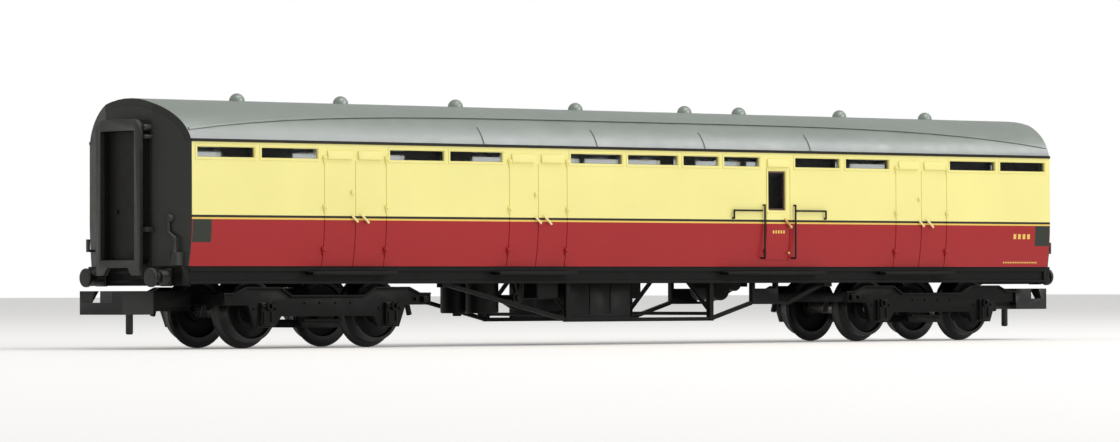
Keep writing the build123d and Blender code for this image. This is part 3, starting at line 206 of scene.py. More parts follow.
# %% A recipe for painted and moulded finishes
PATCH_SCALE = 90.0
GRAIN_SCALE = 5200.0
# A pale colour mixed onto upward faces: partly dust, partly painted light from above.
DUST_AND_TOP_LIGHT = linear(150, 150, 144)


def add_node(tree, kind, **values):
    """A new node, with its inputs or settings given by name."""
    node = tree.nodes.new(kind)
    for name, value in values.items():
        setattr(node, name, value)
    return node


def noise(tree, coordinates, scale, detail=3.0):
    """Soft noise from 0 to 1, at a scale in turns per metre."""
    node = add_node(tree, "ShaderNodeTexNoise")
    node.inputs["Scale"].default_value = scale
    node.inputs["Detail"].default_value = detail
    tree.links.new(coordinates, node.inputs["Vector"])
    return node.outputs["Fac"]


def spread(tree, value, low, high, start=0.3, end=0.7):
    """A 0 to 1 value stretched to another range."""
    node = add_node(tree, "ShaderNodeMapRange")
    tree.links.new(value, node.inputs["Value"])
    node.inputs["From Min"].default_value = start
    node.inputs["From Max"].default_value = end
    node.inputs["To Min"].default_value = low
    node.inputs["To Max"].default_value = high
    return node.outputs["Result"]


def maths(tree, operation, first, second=None):
    """One sum on two values, each a socket or a number."""
    node = add_node(tree, "ShaderNodeMath", operation=operation)
    for socket, value in zip(node.inputs, (first, second)):
        if isinstance(value, bpy.types.NodeSocket):
            tree.links.new(value, socket)
        elif value is not None:
            socket.default_value = value
    return node.outputs["Value"]


def band(tree, value, low, high):
    """A mask that is 1 where a value lies between two numbers."""
    above = maths(tree, "GREATER_THAN", value, low)
    return maths(tree, "MULTIPLY", above, maths(tree, "LESS_THAN", value, high))


def blend_colours(tree, mask, under, over):
    """One colour painted over another where the mask is 1."""
    node = add_node(tree, "ShaderNodeMix", data_type="RGBA")
    for socket, value in ((node.inputs[0], mask), (node.inputs[6], under), (node.inputs[7], over)):
        if isinstance(value, bpy.types.NodeSocket):
            tree.links.new(value, socket)
        else:
            socket.default_value = value
    return node.outputs[2]


def finish_surface(tree, shader, coordinates, colour, gloss, drift, grain):
    """Adds patchy colour, patchy gloss and fine grain to a shader."""
    patches = noise(tree, coordinates, PATCH_SCALE)
    tint = add_node(tree, "ShaderNodeHueSaturation")
    tree.links.new(spread(tree, patches, 1 - drift, 1 + drift), tint.inputs["Value"])
    if isinstance(colour, bpy.types.NodeSocket):
        tree.links.new(colour, tint.inputs["Color"])
    else:
        tint.inputs["Color"].default_value = colour
    tree.links.new(tint.outputs["Color"], shader.inputs["Base Color"])
    wear = noise(tree, coordinates, PATCH_SCALE * 7)
    tree.links.new(spread(tree, wear, gloss - 0.07, gloss + 0.09), shader.inputs["Roughness"])
    bump = add_node(tree, "ShaderNodeBump")
    bump.inputs["Strength"].default_value = grain
    bump.inputs["Distance"].default_value = 0.00002
    tree.links.new(noise(tree, coordinates, GRAIN_SCALE, 2.0), bump.inputs["Height"])
    tree.links.new(bump.outputs["Normal"], shader.inputs["Normal"])


def dusted_and_top_lit(tree, colour, amount):
    """A colour that pales where the surface faces upward: partly dust, partly painted light on the
    upper faces.
    """
    facing = add_node(tree, "ShaderNodeSeparateXYZ")
    tree.links.new(add_node(tree, "ShaderNodeNewGeometry").outputs["Normal"],
                   facing.inputs["Vector"])
    up = spread(tree, facing.outputs["Z"], 0.0, amount, start=0.2, end=0.8)
    return blend_colours(tree, up, colour, DUST_AND_TOP_LIGHT)


def plastic(name, colour, gloss=0.45, drift=0.06, grain=0.25, metal=0.0, specular=0.5, dust_and_top_light=0.0):
    """A finish in one colour, with its patches, gloss and grain."""
    material, tree, shader = node_material(name)
    coordinates = add_node(tree, "ShaderNodeTexCoord").outputs["Object"]
    # Upward faces are paled: partly dust, partly painted top light.
    if dust_and_top_light:
        colour = dusted_and_top_lit(tree, colour, dust_and_top_light)
    finish_surface(tree, shader, coordinates, colour, gloss, drift, grain)
    shader.inputs["Metallic"].default_value = metal
    shader.inputs["Specular IOR Level"].default_value = specular
    return material


print("recipe ready: patches", PATCH_SCALE, "grain", GRAIN_SCALE)

# %% [markdown]
# The livery is printed on one moulding: cream above the waist, crimson below, with a
# black line over a gold one between them, small dark panels at the ends, and black ends.
# Each colour has an edge at a known height or length, so masks on those coordinates
# place them exactly. Short gold dashes stand for the small printed words.

# %% Livery
CREAM = linear(235, 226, 145)
CRIMSON = linear(157, 27, 31)
LINE_BLACK = linear(28, 26, 20)
LINE_GOLD = linear(226, 190, 92)
PANEL_GREY = linear(40, 44, 36)
END_BLACK = linear(46, 47, 43)
INSIDE_GREY = linear(40, 36, 32)
LINE_TOP, LINE_MIDDLE, LINE_FOOT = WAIST + 0.02, WAIST - 0.24, WAIST - 0.44
END_EDGE = 66.02
INSIDE_EDGE = 8.6
PANEL_LENGTH = (63.4, 65.95)
PANEL_HEIGHT = (10.85, 13.33)
DASHES = [  # start and end along the van, foot and top, width of one mark
    (19.15, 21.1, 12.2, 12.55, 0.42),
    (59.63, 62.75, 11.7, 12.3, 0.8),
    (58.2, 64.1, 8.74, 8.92, 0.3),
]
MARK_SHARE = 0.58  # how much of each mark's width is gold

livery, tree, shader = node_material("livery_paint")
where = add_node(tree, "ShaderNodeTexCoord").outputs["Object"]
axes = add_node(tree, "ShaderNodeSeparateXYZ")
tree.links.new(where, axes.inputs["Vector"])
along = maths(tree, "MULTIPLY", axes.outputs["X"], 1 / MM)
across = maths(tree, "ABSOLUTE", maths(tree, "MULTIPLY", axes.outputs["Y"], 1 / MM))
height = maths(tree, "SUBTRACT", maths(tree, "MULTIPLY", axes.outputs["Z"], 1 / MM), FLANGE_DEPTH)
from_middle = maths(tree, "ABSOLUTE", along)
paint = blend_colours(tree, maths(tree, "GREATER_THAN", height, LINE_MIDDLE), CRIMSON, CREAM)
panel = maths(tree, "MULTIPLY", band(tree, from_middle, *PANEL_LENGTH),
              band(tree, height, *PANEL_HEIGHT))
paint = blend_colours(tree, panel, paint, PANEL_GREY)
for start, end, foot, top, mark in DASHES:
    marks = maths(tree, "MULTIPLY", band(tree, along, start, end), band(tree, height, foot, top))
    step = maths(tree, "FRACT", maths(tree, "DIVIDE", maths(tree, "SUBTRACT", along, start), mark))
    marks = maths(tree, "MULTIPLY", marks, maths(tree, "LESS_THAN", step, MARK_SHARE))
    paint = blend_colours(tree, marks, paint, LINE_GOLD)
paint = blend_colours(tree, band(tree, height, LINE_FOOT, LINE_MIDDLE), paint, LINE_GOLD)
paint = blend_colours(tree, band(tree, height, LINE_MIDDLE, LINE_TOP), paint, LINE_BLACK)
paint = blend_colours(tree, maths(tree, "LESS_THAN", across, INSIDE_EDGE), paint, INSIDE_GREY)
paint = blend_colours(tree, maths(tree, "GREATER_THAN", from_middle, END_EDGE), paint, END_BLACK)
finish_surface(tree, shader, where, paint, gloss=0.38, drift=0.03, grain=0.12)
shader.inputs["Specular IOR Level"].default_value = 0.3
print("livery masks:", len(DASHES), "rows of marks")

# %% [markdown]
# The roof is a separate moulding in a soft silvery grey. Paint with a little metal in it
# catches the lamp near the gutter, and a lighter silver is painted along the lower roof
# as a painted sheen. The gutter itself and the roof's ends are black.

# %% Roof paint
ROOF_GREY = linear(154, 163, 155)
# A lighter silver painted low on the roof: a painted sheen near the gutter.
ROOF_PAINTED_SHEEN = linear(160, 164, 162)
SHEEN_FROM, SHEEN_TO = EAVES + 2.3, EAVES + 1.2
GUTTER_TOP = EAVES + 0.33
END_TILT = 0.7  # how squarely a face looks along the van
END_ZONE = 60.0
roof_paint, tree, shader = node_material("roof_paint")
where = add_node(tree, "ShaderNodeTexCoord").outputs["Object"]
axes = add_node(tree, "ShaderNodeSeparateXYZ")
tree.links.new(where, axes.inputs["Vector"])
height = maths(tree, "SUBTRACT", maths(tree, "MULTIPLY", axes.outputs["Z"], 1 / MM), FLANGE_DEPTH)
from_middle = maths(tree, "ABSOLUTE", maths(tree, "MULTIPLY", axes.outputs["X"], 1 / MM))
facing = add_node(tree, "ShaderNodeNewGeometry").outputs["Normal"]
tilt = add_node(tree, "ShaderNodeSeparateXYZ")
tree.links.new(facing, tilt.inputs["Vector"])
end_face = maths(tree, "GREATER_THAN", maths(tree, "ABSOLUTE", tilt.outputs["X"]), END_TILT)
end_face = maths(tree, "MULTIPLY", end_face, maths(tree, "GREATER_THAN", from_middle, END_ZONE))
# The lower roof band takes the painted sheen colour.
low = spread(tree, height, 0.0, 1.0, start=SHEEN_FROM, end=SHEEN_TO)
colour = blend_colours(tree, low, ROOF_GREY, ROOF_PAINTED_SHEEN)
colour = blend_colours(tree, maths(tree, "LESS_THAN", height, GUTTER_TOP), colour, LINE_BLACK)
colour = blend_colours(tree, end_face, colour, END_BLACK)
finish_surface(tree, shader, where, colour, gloss=0.4, drift=0.05, grain=0.8)
shader.inputs["Metallic"].default_value = 0.5
print("roof grey down to", GUTTER_TOP, "mm")

# %% [markdown]
# The rest of the van needs only a handful of finishes: several blacks that differ in
# gloss, because the body ends, bogies and chassis come from different moulds, plus
# steel, blackened tyres, clear plastic and the brown interior. The chassis, bogie and
# wheel blacks are also painted far darker than the ends' black, with little specular,
# as painted shade under the van.

# %% Other finishes
black_end = plastic("end_plastic", linear(44, 44, 40), gloss=0.34, grain=0.9, specular=0.4,
                    dust_and_top_light=0.25)
# Painted shade: the chassis black is darker than black plastic, for the shade under the van.
chassis_black_painted_shade = plastic("chassis_plastic_painted_shade", linear(12, 11, 10), gloss=0.42, grain=0.5,
                        specular=0.15, dust_and_top_light=0.17)
# Painted shade: the bogie black is darker still, for the shade under the van.
bogie_black_painted_shade = plastic("bogie_plastic_painted_shade", linear(7, 7, 6), gloss=0.42, grain=0.9, specular=0.13,
                      dust_and_top_light=0.14)
black_coupler = plastic("coupler_plastic", linear(20, 20, 19), gloss=0.34, grain=0.3,
                        specular=0.4, dust_and_top_light=0.25)
black_rubber = plastic("bellows_rubber", linear(18, 17, 15), gloss=0.5, grain=0.5, specular=0.25)
door_black = plastic("gangway_door_plastic", linear(22, 21, 19), gloss=0.5, grain=0.6,
                     specular=0.25)
black_wire = plastic("blackened_wire", linear(26, 24, 20), gloss=0.35, metal=0.2, specular=0.3)
# Painted shade: the blackened tyres and wheel webs are darkened further, for the shade under the
# van.
shaded_tyre = plastic("blackened_tyre_painted_shade", linear(16, 15, 14), gloss=0.3, grain=0.2, specular=0.35)
wheel_web_painted_shade = plastic("wheel_plastic_painted_shade", linear(9, 9, 8), gloss=0.5, specular=0.15)
steel = plastic("plain_steel", linear(150, 148, 142), gloss=0.3, metal=0.9, grain=0.2)
bright_screw = plastic("bright_screw", linear(176, 172, 160), gloss=0.25, metal=0.95, grain=0.2)
inside = plastic("interior_plastic", linear(70, 58, 44), gloss=0.55)

clear, tree, shader = node_material("clear_glazing")
coordinates = add_node(tree, "ShaderNodeTexCoord").outputs["Object"]
finish_surface(tree, shader, coordinates, linear(246, 249, 248), gloss=0.07, drift=0.01, grain=0.0)
shader.inputs["Transmission Weight"].default_value = 1.0
shader.inputs["IOR"].default_value = 1.2
print("finishes:", len(bpy.data.materials))

# %% [markdown]
# Each solid takes the finish of the part it stands for. Names that share a beginning
# share a finish, so a short table says it once for the left, right, front and rear.

# %% Finishes for the solids
FINISHES = [
    ("body_shell", livery), ("roof_vents", roof_paint), ("roof", roof_paint), ("glazing", clear),
    ("interior", inside), ("ballast", steel), ("chassis", chassis_black_painted_shade),
    ("footboards", chassis_black_painted_shade), ("truss", chassis_black_painted_shade), ("battery", chassis_black_painted_shade),
    ("vacuum", chassis_black_painted_shade), ("brake_shaft", chassis_black_painted_shade), ("v_hangers", chassis_black_painted_shade),
    ("regulator", chassis_black_painted_shade), ("switch", chassis_black_painted_shade), ("dynamo", chassis_black_painted_shade),
    ("handrails", black_wire), ("buffers", black_coupler), ("gangway_plate", black_end),
    ("gangway_bellows", black_rubber), ("gangway_door", door_black),
    ("gangway_fittings", black_end), ("end_pipe", black_end), ("lamp_iron", black_end),
    ("bogie_frame", bogie_black_painted_shade), ("bogie_pivot", bright_screw), ("coupler_keeper", bogie_black_painted_shade),
    ("coupler_spring", steel), ("coupler_hook", black_coupler), ("axle", steel),
    ("wheels", shaded_tyre),
]
for name, solid in nodes.items():
    finish = next(material for start, material in FINISHES if name.startswith(start))
    solid.data.materials.clear()
    solid.data.materials.append(finish)
print("finished", len(nodes), "solids")

# %% [markdown]
# Real mouldings have no razor edges: each one carries a tiny radius that catches light.
# The measured solids are exact, so a copy of each visible black part is merged, its flat
# faces joined, and its sharp edges bevelled by a few hundredths of a millimetre.

# %% Softened copies
SHARP = radians(30)
SMOOTH_BELOW = radians(40)


def new_piece(name, bm, material, body):
    """A finished piece from a bmesh, riding on a body with its finish."""
    bmesh.ops.recalc_face_normals(bm, faces=bm.faces)
    mesh = bpy.data.meshes.new(name)
    bm.to_mesh(mesh)
    bm.free()
    mesh.materials.append(material)
    mesh.shade_smooth()
    mesh.set_sharp_from_angle(angle=SMOOTH_BELOW)
    piece = bpy.data.objects.new(name, mesh)
    bpy.context.scene.collection.objects.link(piece)
    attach(piece, body)
    return piece


def soften(node, radius):
    """A copy of a solid with its sharp edges rounded, which stands for it."""
    solid = nodes[node]
    bm = bmesh.new()
    bm.from_mesh(solid.data)
    bmesh.ops.remove_doubles(bm, verts=bm.verts, dist=0.002 * MM)
    bmesh.ops.dissolve_limit(bm, angle_limit=radians(1), verts=bm.verts, edges=bm.edges)
    sharp = [e for e in bm.edges if len(e.link_faces) == 2 and e.calc_face_angle() > SHARP]
    bmesh.ops.bevel(bm, geom=sharp, offset=radius * MM, offset_type="OFFSET", segments=1,
                    profile=0.5, affect="EDGES", clamp_overlap=True, material=-1)
    piece = new_piece(node + "_softened", bm, solid.data.materials[0], solid["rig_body"])
    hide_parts(node)


print("edges sharper than 30 degrees will be rounded")

# %% [markdown]
# The van's sides carry raised frames round the shallow windows high on the side. Each
# frame is a flat ring: a grid of one face, inset once, its middle removed and the rest
# thickened. Building the right-hand side and mirroring it keeps the two sides alike.

# %% Window frames
TOPLIGHTS = [
    (-65.3, -57.6), (-56.6, -48.9), (-38.75, -31.0), (-30.1, -22.5),
    (-12.3, -4.5), (-3.6, 4.1), (5.0, 10.5), (11.4, 17.0),
    (22.8, 30.05), (31.1, 38.25), (48.6, 56.4), (57.3, 65.1),
]
TOPLIGHT_HEIGHT = (20.0, 21.08)
FRAME_BORDER = 0.3
FRAME_PROUD = 0.07
FRAME_DEPTH = 0.14


def add_ring(bm, x_range, z_range, border, proud, depth):
    """A raised rectangular ring on the right-hand side."""
    width = x_range[1] - x_range[0] + 2 * border
    tall = z_range[1] - z_range[0] + 2 * border
    middle = ((x_range[0] + x_range[1]) / 2, (z_range[0] + z_range[1]) / 2)
    place = Matrix.Translation(point(middle[0], -side_offset(middle[1]) - proud, middle[1]))
    shape = Matrix.Diagonal((width * MM, tall * MM, 1, 1))
    flat = place @ Matrix.Rotation(pi / 2, 4, "X") @ shape
    verts = bmesh.ops.create_grid(bm, x_segments=1, y_segments=1, size=0.5, matrix=flat)["verts"]
    faces = list({f for v in verts for f in v.link_faces})
    bmesh.ops.inset_individual(bm, faces=faces, thickness=border * MM)
    edges = {e for f in faces for e in f.edges}
    ring = [f for f in {g for e in edges for g in e.link_faces} if f not in faces]
    bmesh.ops.delete(bm, geom=faces, context="FACES_ONLY")
    walls = bmesh.ops.extrude_face_region(bm, geom=ring)
    moved = [v for v in walls["geom"] if isinstance(v, bmesh.types.BMVert)]
    bmesh.ops.translate(bm, verts=moved, vec=(0, depth * MM, 0))


def mirror_across(bm):
    """Copies everything in a bmesh to the other side of the van."""
    copy = bmesh.ops.duplicate(bm, geom=bm.verts[:] + bm.edges[:] + bm.faces[:])["geom"]
    verts = [v for v in copy if isinstance(v, bmesh.types.BMVert)]
    bmesh.ops.scale(bm, verts=verts, vec=(1, -1, 1))


def round_edges(bm, radius, segments=1, angle=SHARP):
    """Bevels every sharp edge of a bmesh."""
    sharp = [e for e in bm.edges if len(e.link_faces) == 2 and e.calc_face_angle() > angle]
    bmesh.ops.bevel(bm, geom=sharp, offset=radius * MM, offset_type="OFFSET",
                    segments=segments, profile=0.5, affect="EDGES", clamp_overlap=True,
                    material=-1)


bm = bmesh.new()
for span in TOPLIGHTS:
    add_ring(bm, span, TOPLIGHT_HEIGHT, FRAME_BORDER, FRAME_PROUD, FRAME_DEPTH)
round_edges(bm, 0.04)
mirror_across(bm)
new_piece("window_frames", bm, livery, "root")
print("window frames:", 2 * len(TOPLIGHTS))

# %% [markdown]
# Doors on such a van are hinged on the outside, with a bonnet over each ventilator. The
# hinges, bonnets, stops and locks are separate bumps on the side: small blocks, shaped
# by moving or bevelling a cube.

# %% Door bonnets and hinges
LUGGAGE_DOORS = [(-48.0, -43.73, -39.3), (-21.5, -17.2, -12.9), (39.4, 43.7, 48.0)]
BONNETS = [(-47.6, -44.1), (-43.3, -39.9), (-21.2, -17.8), (-16.8, -13.5),
           (39.8, 43.15), (44.1, 47.7), (18.2, 21.7)]
BONNET_HEIGHT = (19.97, 20.95)
HINGE_HEIGHTS = (20.1, 14.75, 10.15)
GUARD_DOOR = (18.1, 21.9)
HINGE_RADIUS = 0.31
HINGE_SUNK = 0.06
LEAF_HALF = 0.13
LEAF_TOP, LEAF_FOOT = 0.1, 0.62  # below the middle of the barrel
BONNET_LEAN = 0.16
BONNET_MIDDLE = 20.5
DOOR_STOP = (-0.6, -0.2)  # from the doors' meeting line
DOOR_STOP_HEIGHT = (16.15, 16.62)


def add_block(bm, low, high):
    """A block between two corners, given in millimetres; returns its corners' verts."""
    size = Vector(high) - Vector(low)
    centre = (Vector(high) + Vector(low)) / 2
    place = Matrix.Translation(point(*centre)) @ Matrix.Diagonal((*(size * MM), 1))
    return bmesh.ops.create_cube(bm, size=1, matrix=place)["verts"]


def on_side(x_range, z_range, proud, sunk=0.12):
    """Corners of a block on the right-hand side that stands proud of it."""
    middle = (z_range[0] + z_range[1]) / 2
    face = -side_offset(middle)
    return (x_range[0], face - proud, z_range[0]), (x_range[1], face + sunk, z_range[1])


def hinge(bm, x, z):
    """A hinge: a round-headed barrel above a small leaf."""
    bmesh.ops.create_uvsphere(bm, u_segments=16, v_segments=10, radius=HINGE_RADIUS * MM,
                              matrix=Matrix.Translation(point(x, -side_offset(z) - HINGE_SUNK, z)))
    leaf = (x - LEAF_HALF, x + LEAF_HALF), (z - LEAF_FOOT, z - LEAF_TOP)
    add_block(bm, *on_side(*leaf, 0.16))


bm = bmesh.new()
for span in BONNETS:
    verts = add_block(bm, *on_side(span, BONNET_HEIGHT, 0.3))
    upper = [v for v in verts if v.co.z > point(0, 0, BONNET_MIDDLE).z]
    bmesh.ops.translate(bm, verts=[v for v in upper if v.co.y < point(0, -HALF_WAIST, 0).y],
                        vec=(0, BONNET_LEAN * MM, 0))
for left, middle, right_edge in LUGGAGE_DOORS:
    for z in HINGE_HEIGHTS:
        hinge(bm, left, z)
        hinge(bm, right_edge, z)
    stop = (middle + DOOR_STOP[0], middle + DOOR_STOP[1])
    add_block(bm, *on_side(stop, DOOR_STOP_HEIGHT, 0.24))
for z in HINGE_HEIGHTS[1:]:
    hinge(bm, GUARD_DOOR[0], z)
round_edges(bm, 0.09, segments=2)
mirror_across(bm)
new_piece("door_furniture", bm, livery, "root")
print("bonnets:", 2 * len(BONNETS))

# %% [markdown]
# The door handles are separate: a pair of slanting levers beside each double door's
# meeting line, painted cream, and one on the guard's door. A cube stretched and turned
# makes a lever, and a small block makes its boss, which needs no outline of its own.

# %% Door handles
HANDLES = [(-0.63, 0.18, 13.85, 13.12), (0.55, 1.75, 14.08, 13.02)]  # start, end, top, foot
HANDLE_THICK = 0.22
BOSS_HALF = 0.13
handle_paint = plastic("handle_paint", linear(240, 226, 160), gloss=0.35, drift=0.03)
brass_handle = plastic("guard_handle", linear(214, 170, 110), gloss=0.3, metal=0.6)


def add_bar(bm, start, end, thick, proud):
    """A slanting bar on the side between two places (along, height)."""
    run = Vector((end[0] - start[0], 0, end[1] - start[1]))
    middle_z = (start[1] + end[1]) / 2
    face = -side_offset(middle_z)
    centre = point((start[0] + end[0]) / 2, face - proud, middle_z)
    slope = Matrix.Rotation(-atan2(run.z, run.x), 4, "Y")
    size = Matrix.Diagonal((run.length * MM, thick * MM, thick * MM, 1))
    bmesh.ops.create_cube(bm, size=1, matrix=Matrix.Translation(centre) @ slope @ size)


bm = bmesh.new()
for left, middle, right_edge in LUGGAGE_DOORS:
    for start, end, top, foot in HANDLES:
        add_bar(bm, (middle + start, top), (middle + end, foot), HANDLE_THICK, 0.28)
        x, z = middle + (start + end) / 2, (top + foot) / 2
        add_block(bm, *on_side((x - BOSS_HALF, x + BOSS_HALF), (z - BOSS_HALF, z + BOSS_HALF), 0.26))
round_edges(bm, 0.06, segments=2)
mirror_across(bm)
new_piece("door_handles", bm, handle_paint, "root")

GUARD_LEVER = (20.75, 13.95), (21.85, 12.9)
GUARD_BLOCKS = [  # along, height, proud: the boss, the grip and the lower catch
    ((21.1, 21.4), (13.3, 13.6), 0.28),
    ((21.62, 21.98), (12.8, 13.15), 0.42),
    ((21.62, 21.9), (9.75, 10.05), 0.3),
]
bm = bmesh.new()
add_bar(bm, *GUARD_LEVER, 0.2, 0.3)
for span, heights, proud in GUARD_BLOCKS:
    add_block(bm, *on_side(span, heights, proud))
round_edges(bm, 0.07, segments=2)
mirror_across(bm)
new_piece("guard_handle", bm, brass_handle, "root")
print("handles on", len(LUGGAGE_DOORS), "pairs of doors each side")

# %% [markdown]
# The guard's window drops into the door in a narrow frame of its own, dark where the
# glass slides. A second ring, thinner than the cream ones, makes it.

# %% Guard's window frame
DROPLIGHT = (18.4, 21.2)
DROPLIGHT_HEIGHT = (14.9, 19.5)
SASH_INSET = 0.28
frame_brown = plastic("droplight_frame", linear(86, 60, 44), gloss=0.4)
bm = bmesh.new()
add_ring(bm, DROPLIGHT, DROPLIGHT_HEIGHT, 0.26, 0.05, 0.16)
round_edges(bm, 0.04)
mirror_across(bm)
new_piece("guard_window_frame", bm, livery, "root")
bm = bmesh.new()
sash = (DROPLIGHT[0] + SASH_INSET, DROPLIGHT[1] - SASH_INSET)
sash_height = (DROPLIGHT_HEIGHT[0] + SASH_INSET, DROPLIGHT_HEIGHT[1] - SASH_INSET)
add_ring(bm, sash, sash_height, 0.26, -0.18, 0.12)
mirror_across(bm)
new_piece("guard_window_sash", bm, frame_brown, "root")
print("guard's window", DROPLIGHT, DROPLIGHT_HEIGHT)

# %% [markdown]
# Each roof ventilator is a small dome that lets stale air out through a mouth on either
# side. A short profile spun right round makes a dome without seams or a flat top, and a
# smaller profile spun about a level axis makes the ring round each mouth.

# %% Roof ventilators
VENT_PLACES = [-52.85, -38.3, -21.6, -3.5, 13.6, 22.35, 39.0, 53.6]
RIDGE = 26.45
VENT_RADIUS = 0.87
VENT_PROFILE = [(VENT_RADIUS * cos(a), VENT_RADIUS * sin(a))
                for a in (radians(step) for step in range(-10, 91, 10))]
MOUTH_PROFILE = [(0.16, -0.1), (0.16, 0.03), (0.19, 0.06), (0.26, 0.06), (0.3, 0.03), (0.3, -0.1)]
MOUTH_OFFSET = 0.74  # from the middle of the dome
MOUTH_RISE = 0.22


def add_turned(bm, profile, centre, axis, steps=32):
    """Spins a profile of (radius, distance) pairs, in mm, right round an axis."""
    axis = Vector(axis)
    out = Vector((0, 0, 1)) if abs(axis.z) < 0.5 else Vector((1, 0, 0))
    verts = [bm.verts.new(centre + (out * r + axis * d) * MM) for r, d in profile]
    edges = [bm.edges.new(pair) for pair in zip(verts, verts[1:])]
    bmesh.ops.spin(bm, geom=verts + edges, cent=centre, axis=axis, dvec=(0, 0, 0),
                   angle=2 * pi, steps=steps, use_merge=True, use_duplicate=False)


bm = bmesh.new()
for x in VENT_PLACES:
    add_turned(bm, VENT_PROFILE, point(x, 0, RIDGE - 0.02), (0, 0, 1), steps=28)
    for side in (-1, 1):
        mouth = point(x, side * MOUTH_OFFSET, RIDGE + MOUTH_RISE)
        add_turned(bm, MOUTH_PROFILE, mouth, (0, side, 0), steps=20)
bmesh.ops.remove_doubles(bm, verts=bm.verts, dist=0.001 * MM)
vents = new_piece("roof_ventilators", bm, roof_paint, "root")
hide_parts("roof_vents")
print("ventilators:", len(VENT_PLACES))

# %% [markdown]
# A gangway joins two vans so that people can walk through. Its bellows are a concertina:
# a ring of fabric folded into sharp ridges. The ring's outline is a rounded rectangle,
# copied outward along the van with every second copy drawn in, then bridged. The face
# plate and the end wall close it, so it needs no front or back of its own.

# %% Gangway bellows
BELLOWS_RIBS = 3
RIB_DEPTH = 0.28
BELLOWS_HALF = 3.85
BELLOWS_SPAN = (8.4, 23.8)
OPENING_HALF = 3.05
OPENING_SPAN = (8.95, 22.88)
FACE_PLATE_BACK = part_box("gangway_plate_front")[0].x / MM
BELLOWS_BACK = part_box("gangway_bellows_front")[0].x / MM


def add_loop(bm, x, half, foot, top, corner):
    """A rounded upright rectangle across the van; returns its edges."""
    place = Matrix.Translation(point(x, 0, (foot + top) / 2)) @ Matrix.Rotation(pi / 2, 4, "Y")
    size = Matrix.Diagonal(((top - foot) * MM, 2 * half * MM, 1, 1))
    verts = bmesh.ops.create_grid(bm, x_segments=1, y_segments=1, size=0.5,
                                  matrix=place @ size)["verts"]
    face = verts[0].link_faces[0]
    bmesh.ops.bevel(bm, geom=list(face.verts), offset=corner * MM, offset_type="OFFSET",
                    segments=4, profile=0.5, affect="VERTICES", clamp_overlap=True,
                    material=-1)
    face = max((f for f in bm.faces if abs(f.calc_center_median().x - x * MM) < 1e-6),
               key=lambda f: f.calc_area())
    edges = list(face.edges)
    bmesh.ops.delete(bm, geom=[face], context="FACES_ONLY")
    return edges


def bellows(name, flip):
    """One concertina ring, at the front, or turned half round for the rear."""
    bm = bmesh.new()
    steps = 2 * BELLOWS_RIBS
    outer = []
    for step in range(steps + 1):
        x = BELLOWS_BACK + (FACE_PLATE_BACK - BELLOWS_BACK) * step / steps
        drawn = RIB_DEPTH if step % 2 else 0.0
        outer.append(add_loop(bm, x, BELLOWS_HALF - drawn, BELLOWS_SPAN[0] + drawn,
                              BELLOWS_SPAN[1] - drawn, 1.1))
    inner = [add_loop(bm, x, OPENING_HALF, *OPENING_SPAN, 0.3)
             for x in (BELLOWS_BACK, FACE_PLATE_BACK)]
    for first, second in zip(outer, outer[1:]):
        bmesh.ops.bridge_loops(bm, edges=first + second)
    bmesh.ops.bridge_loops(bm, edges=inner[0] + inner[1])
    if flip:
        bmesh.ops.rotate(bm, verts=bm.verts, cent=(0, 0, 0), matrix=Matrix.Rotation(pi, 3, "Z"))
    return new_piece(name, bm, black_rubber, "root")


for end, flip in (("front", False), ("rear", True)):
    folded = bellows("bellows_" + end, flip)
    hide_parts("gangway_bellows_" + end)
print("bellows with", BELLOWS_RIBS, "ribs at each end")

# %% [markdown]
# The wheels are turned shapes, so one profile spun round the axle gives the flange, the
# coned tread, the rim and the dished web in a single closed skin.

# %% Wheels
WHEEL_PROFILE = [  # radius, distance from the wheel's back
    (0.78, 0.0), (1.2, 0.0), (1.25, 0.05), (1.3, 0.55), (1.6, 0.62), (2.6, 0.5), (2.85, 0.42),
    (2.9, 0.05), (2.95, 0.0), (3.85, 0.0), (4.0, 0.06), (4.1, 0.2), (4.1, 0.32), (4.0, 0.46),
    (3.7, 0.55), (3.52, 0.62), (3.45, 0.72), (3.38, 1.95), (3.33, 2.0), (3.02, 2.0),
    (2.97, 1.95), (2.92, 1.62), (2.8, 1.55), (1.7, 1.38), (1.4, 1.45), (1.25, 1.62),
    (1.22, 1.92), (1.17, 2.0), (0.78, 2.0),
]
BACK_TO_BACK = 7.5
WEB_LIMIT = 2.95


def wheel_pair(number):
    """Both wheels of one axle, back to back."""
    node = f"wheels_{number}"
    low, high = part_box(node)
    centre = (low + high) / 2
    bm = bmesh.new()
    closed = WHEEL_PROFILE + WHEEL_PROFILE[:1]
    for side in (-1, 1):
        start = centre + Vector((0, side * BACK_TO_BACK / 2 * MM, 0))
        add_turned(bm, closed, start, (0, side, 0), steps=64)
    bmesh.ops.remove_doubles(bm, verts=bm.verts, dist=0.001 * MM)
    piece = new_piece(f"turned_wheels_{number}", bm, shaded_tyre, f"wheelset_{number}")
    piece.data.materials.append(wheel_web_painted_shade)
    for face in piece.data.polygons:
        reach = face.center - centre
        if sqrt(reach.x**2 + reach.z**2) < WEB_LIMIT * MM:
            face.material_index = 1
    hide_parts(node)


for number in (1, 2, 3, 4):
    wheel_pair(number)
print("wheel profile of", len(WHEEL_PROFILE), "points")

# %% [markdown]
# The side frames were pressed from plate on the real van: a narrow flange follows the
# humped top edge, and the axleboxes carry a cover, a keeper and a few bolt heads. A bar
# between two places does for the flange, one length at a time, and blocks for the rest.

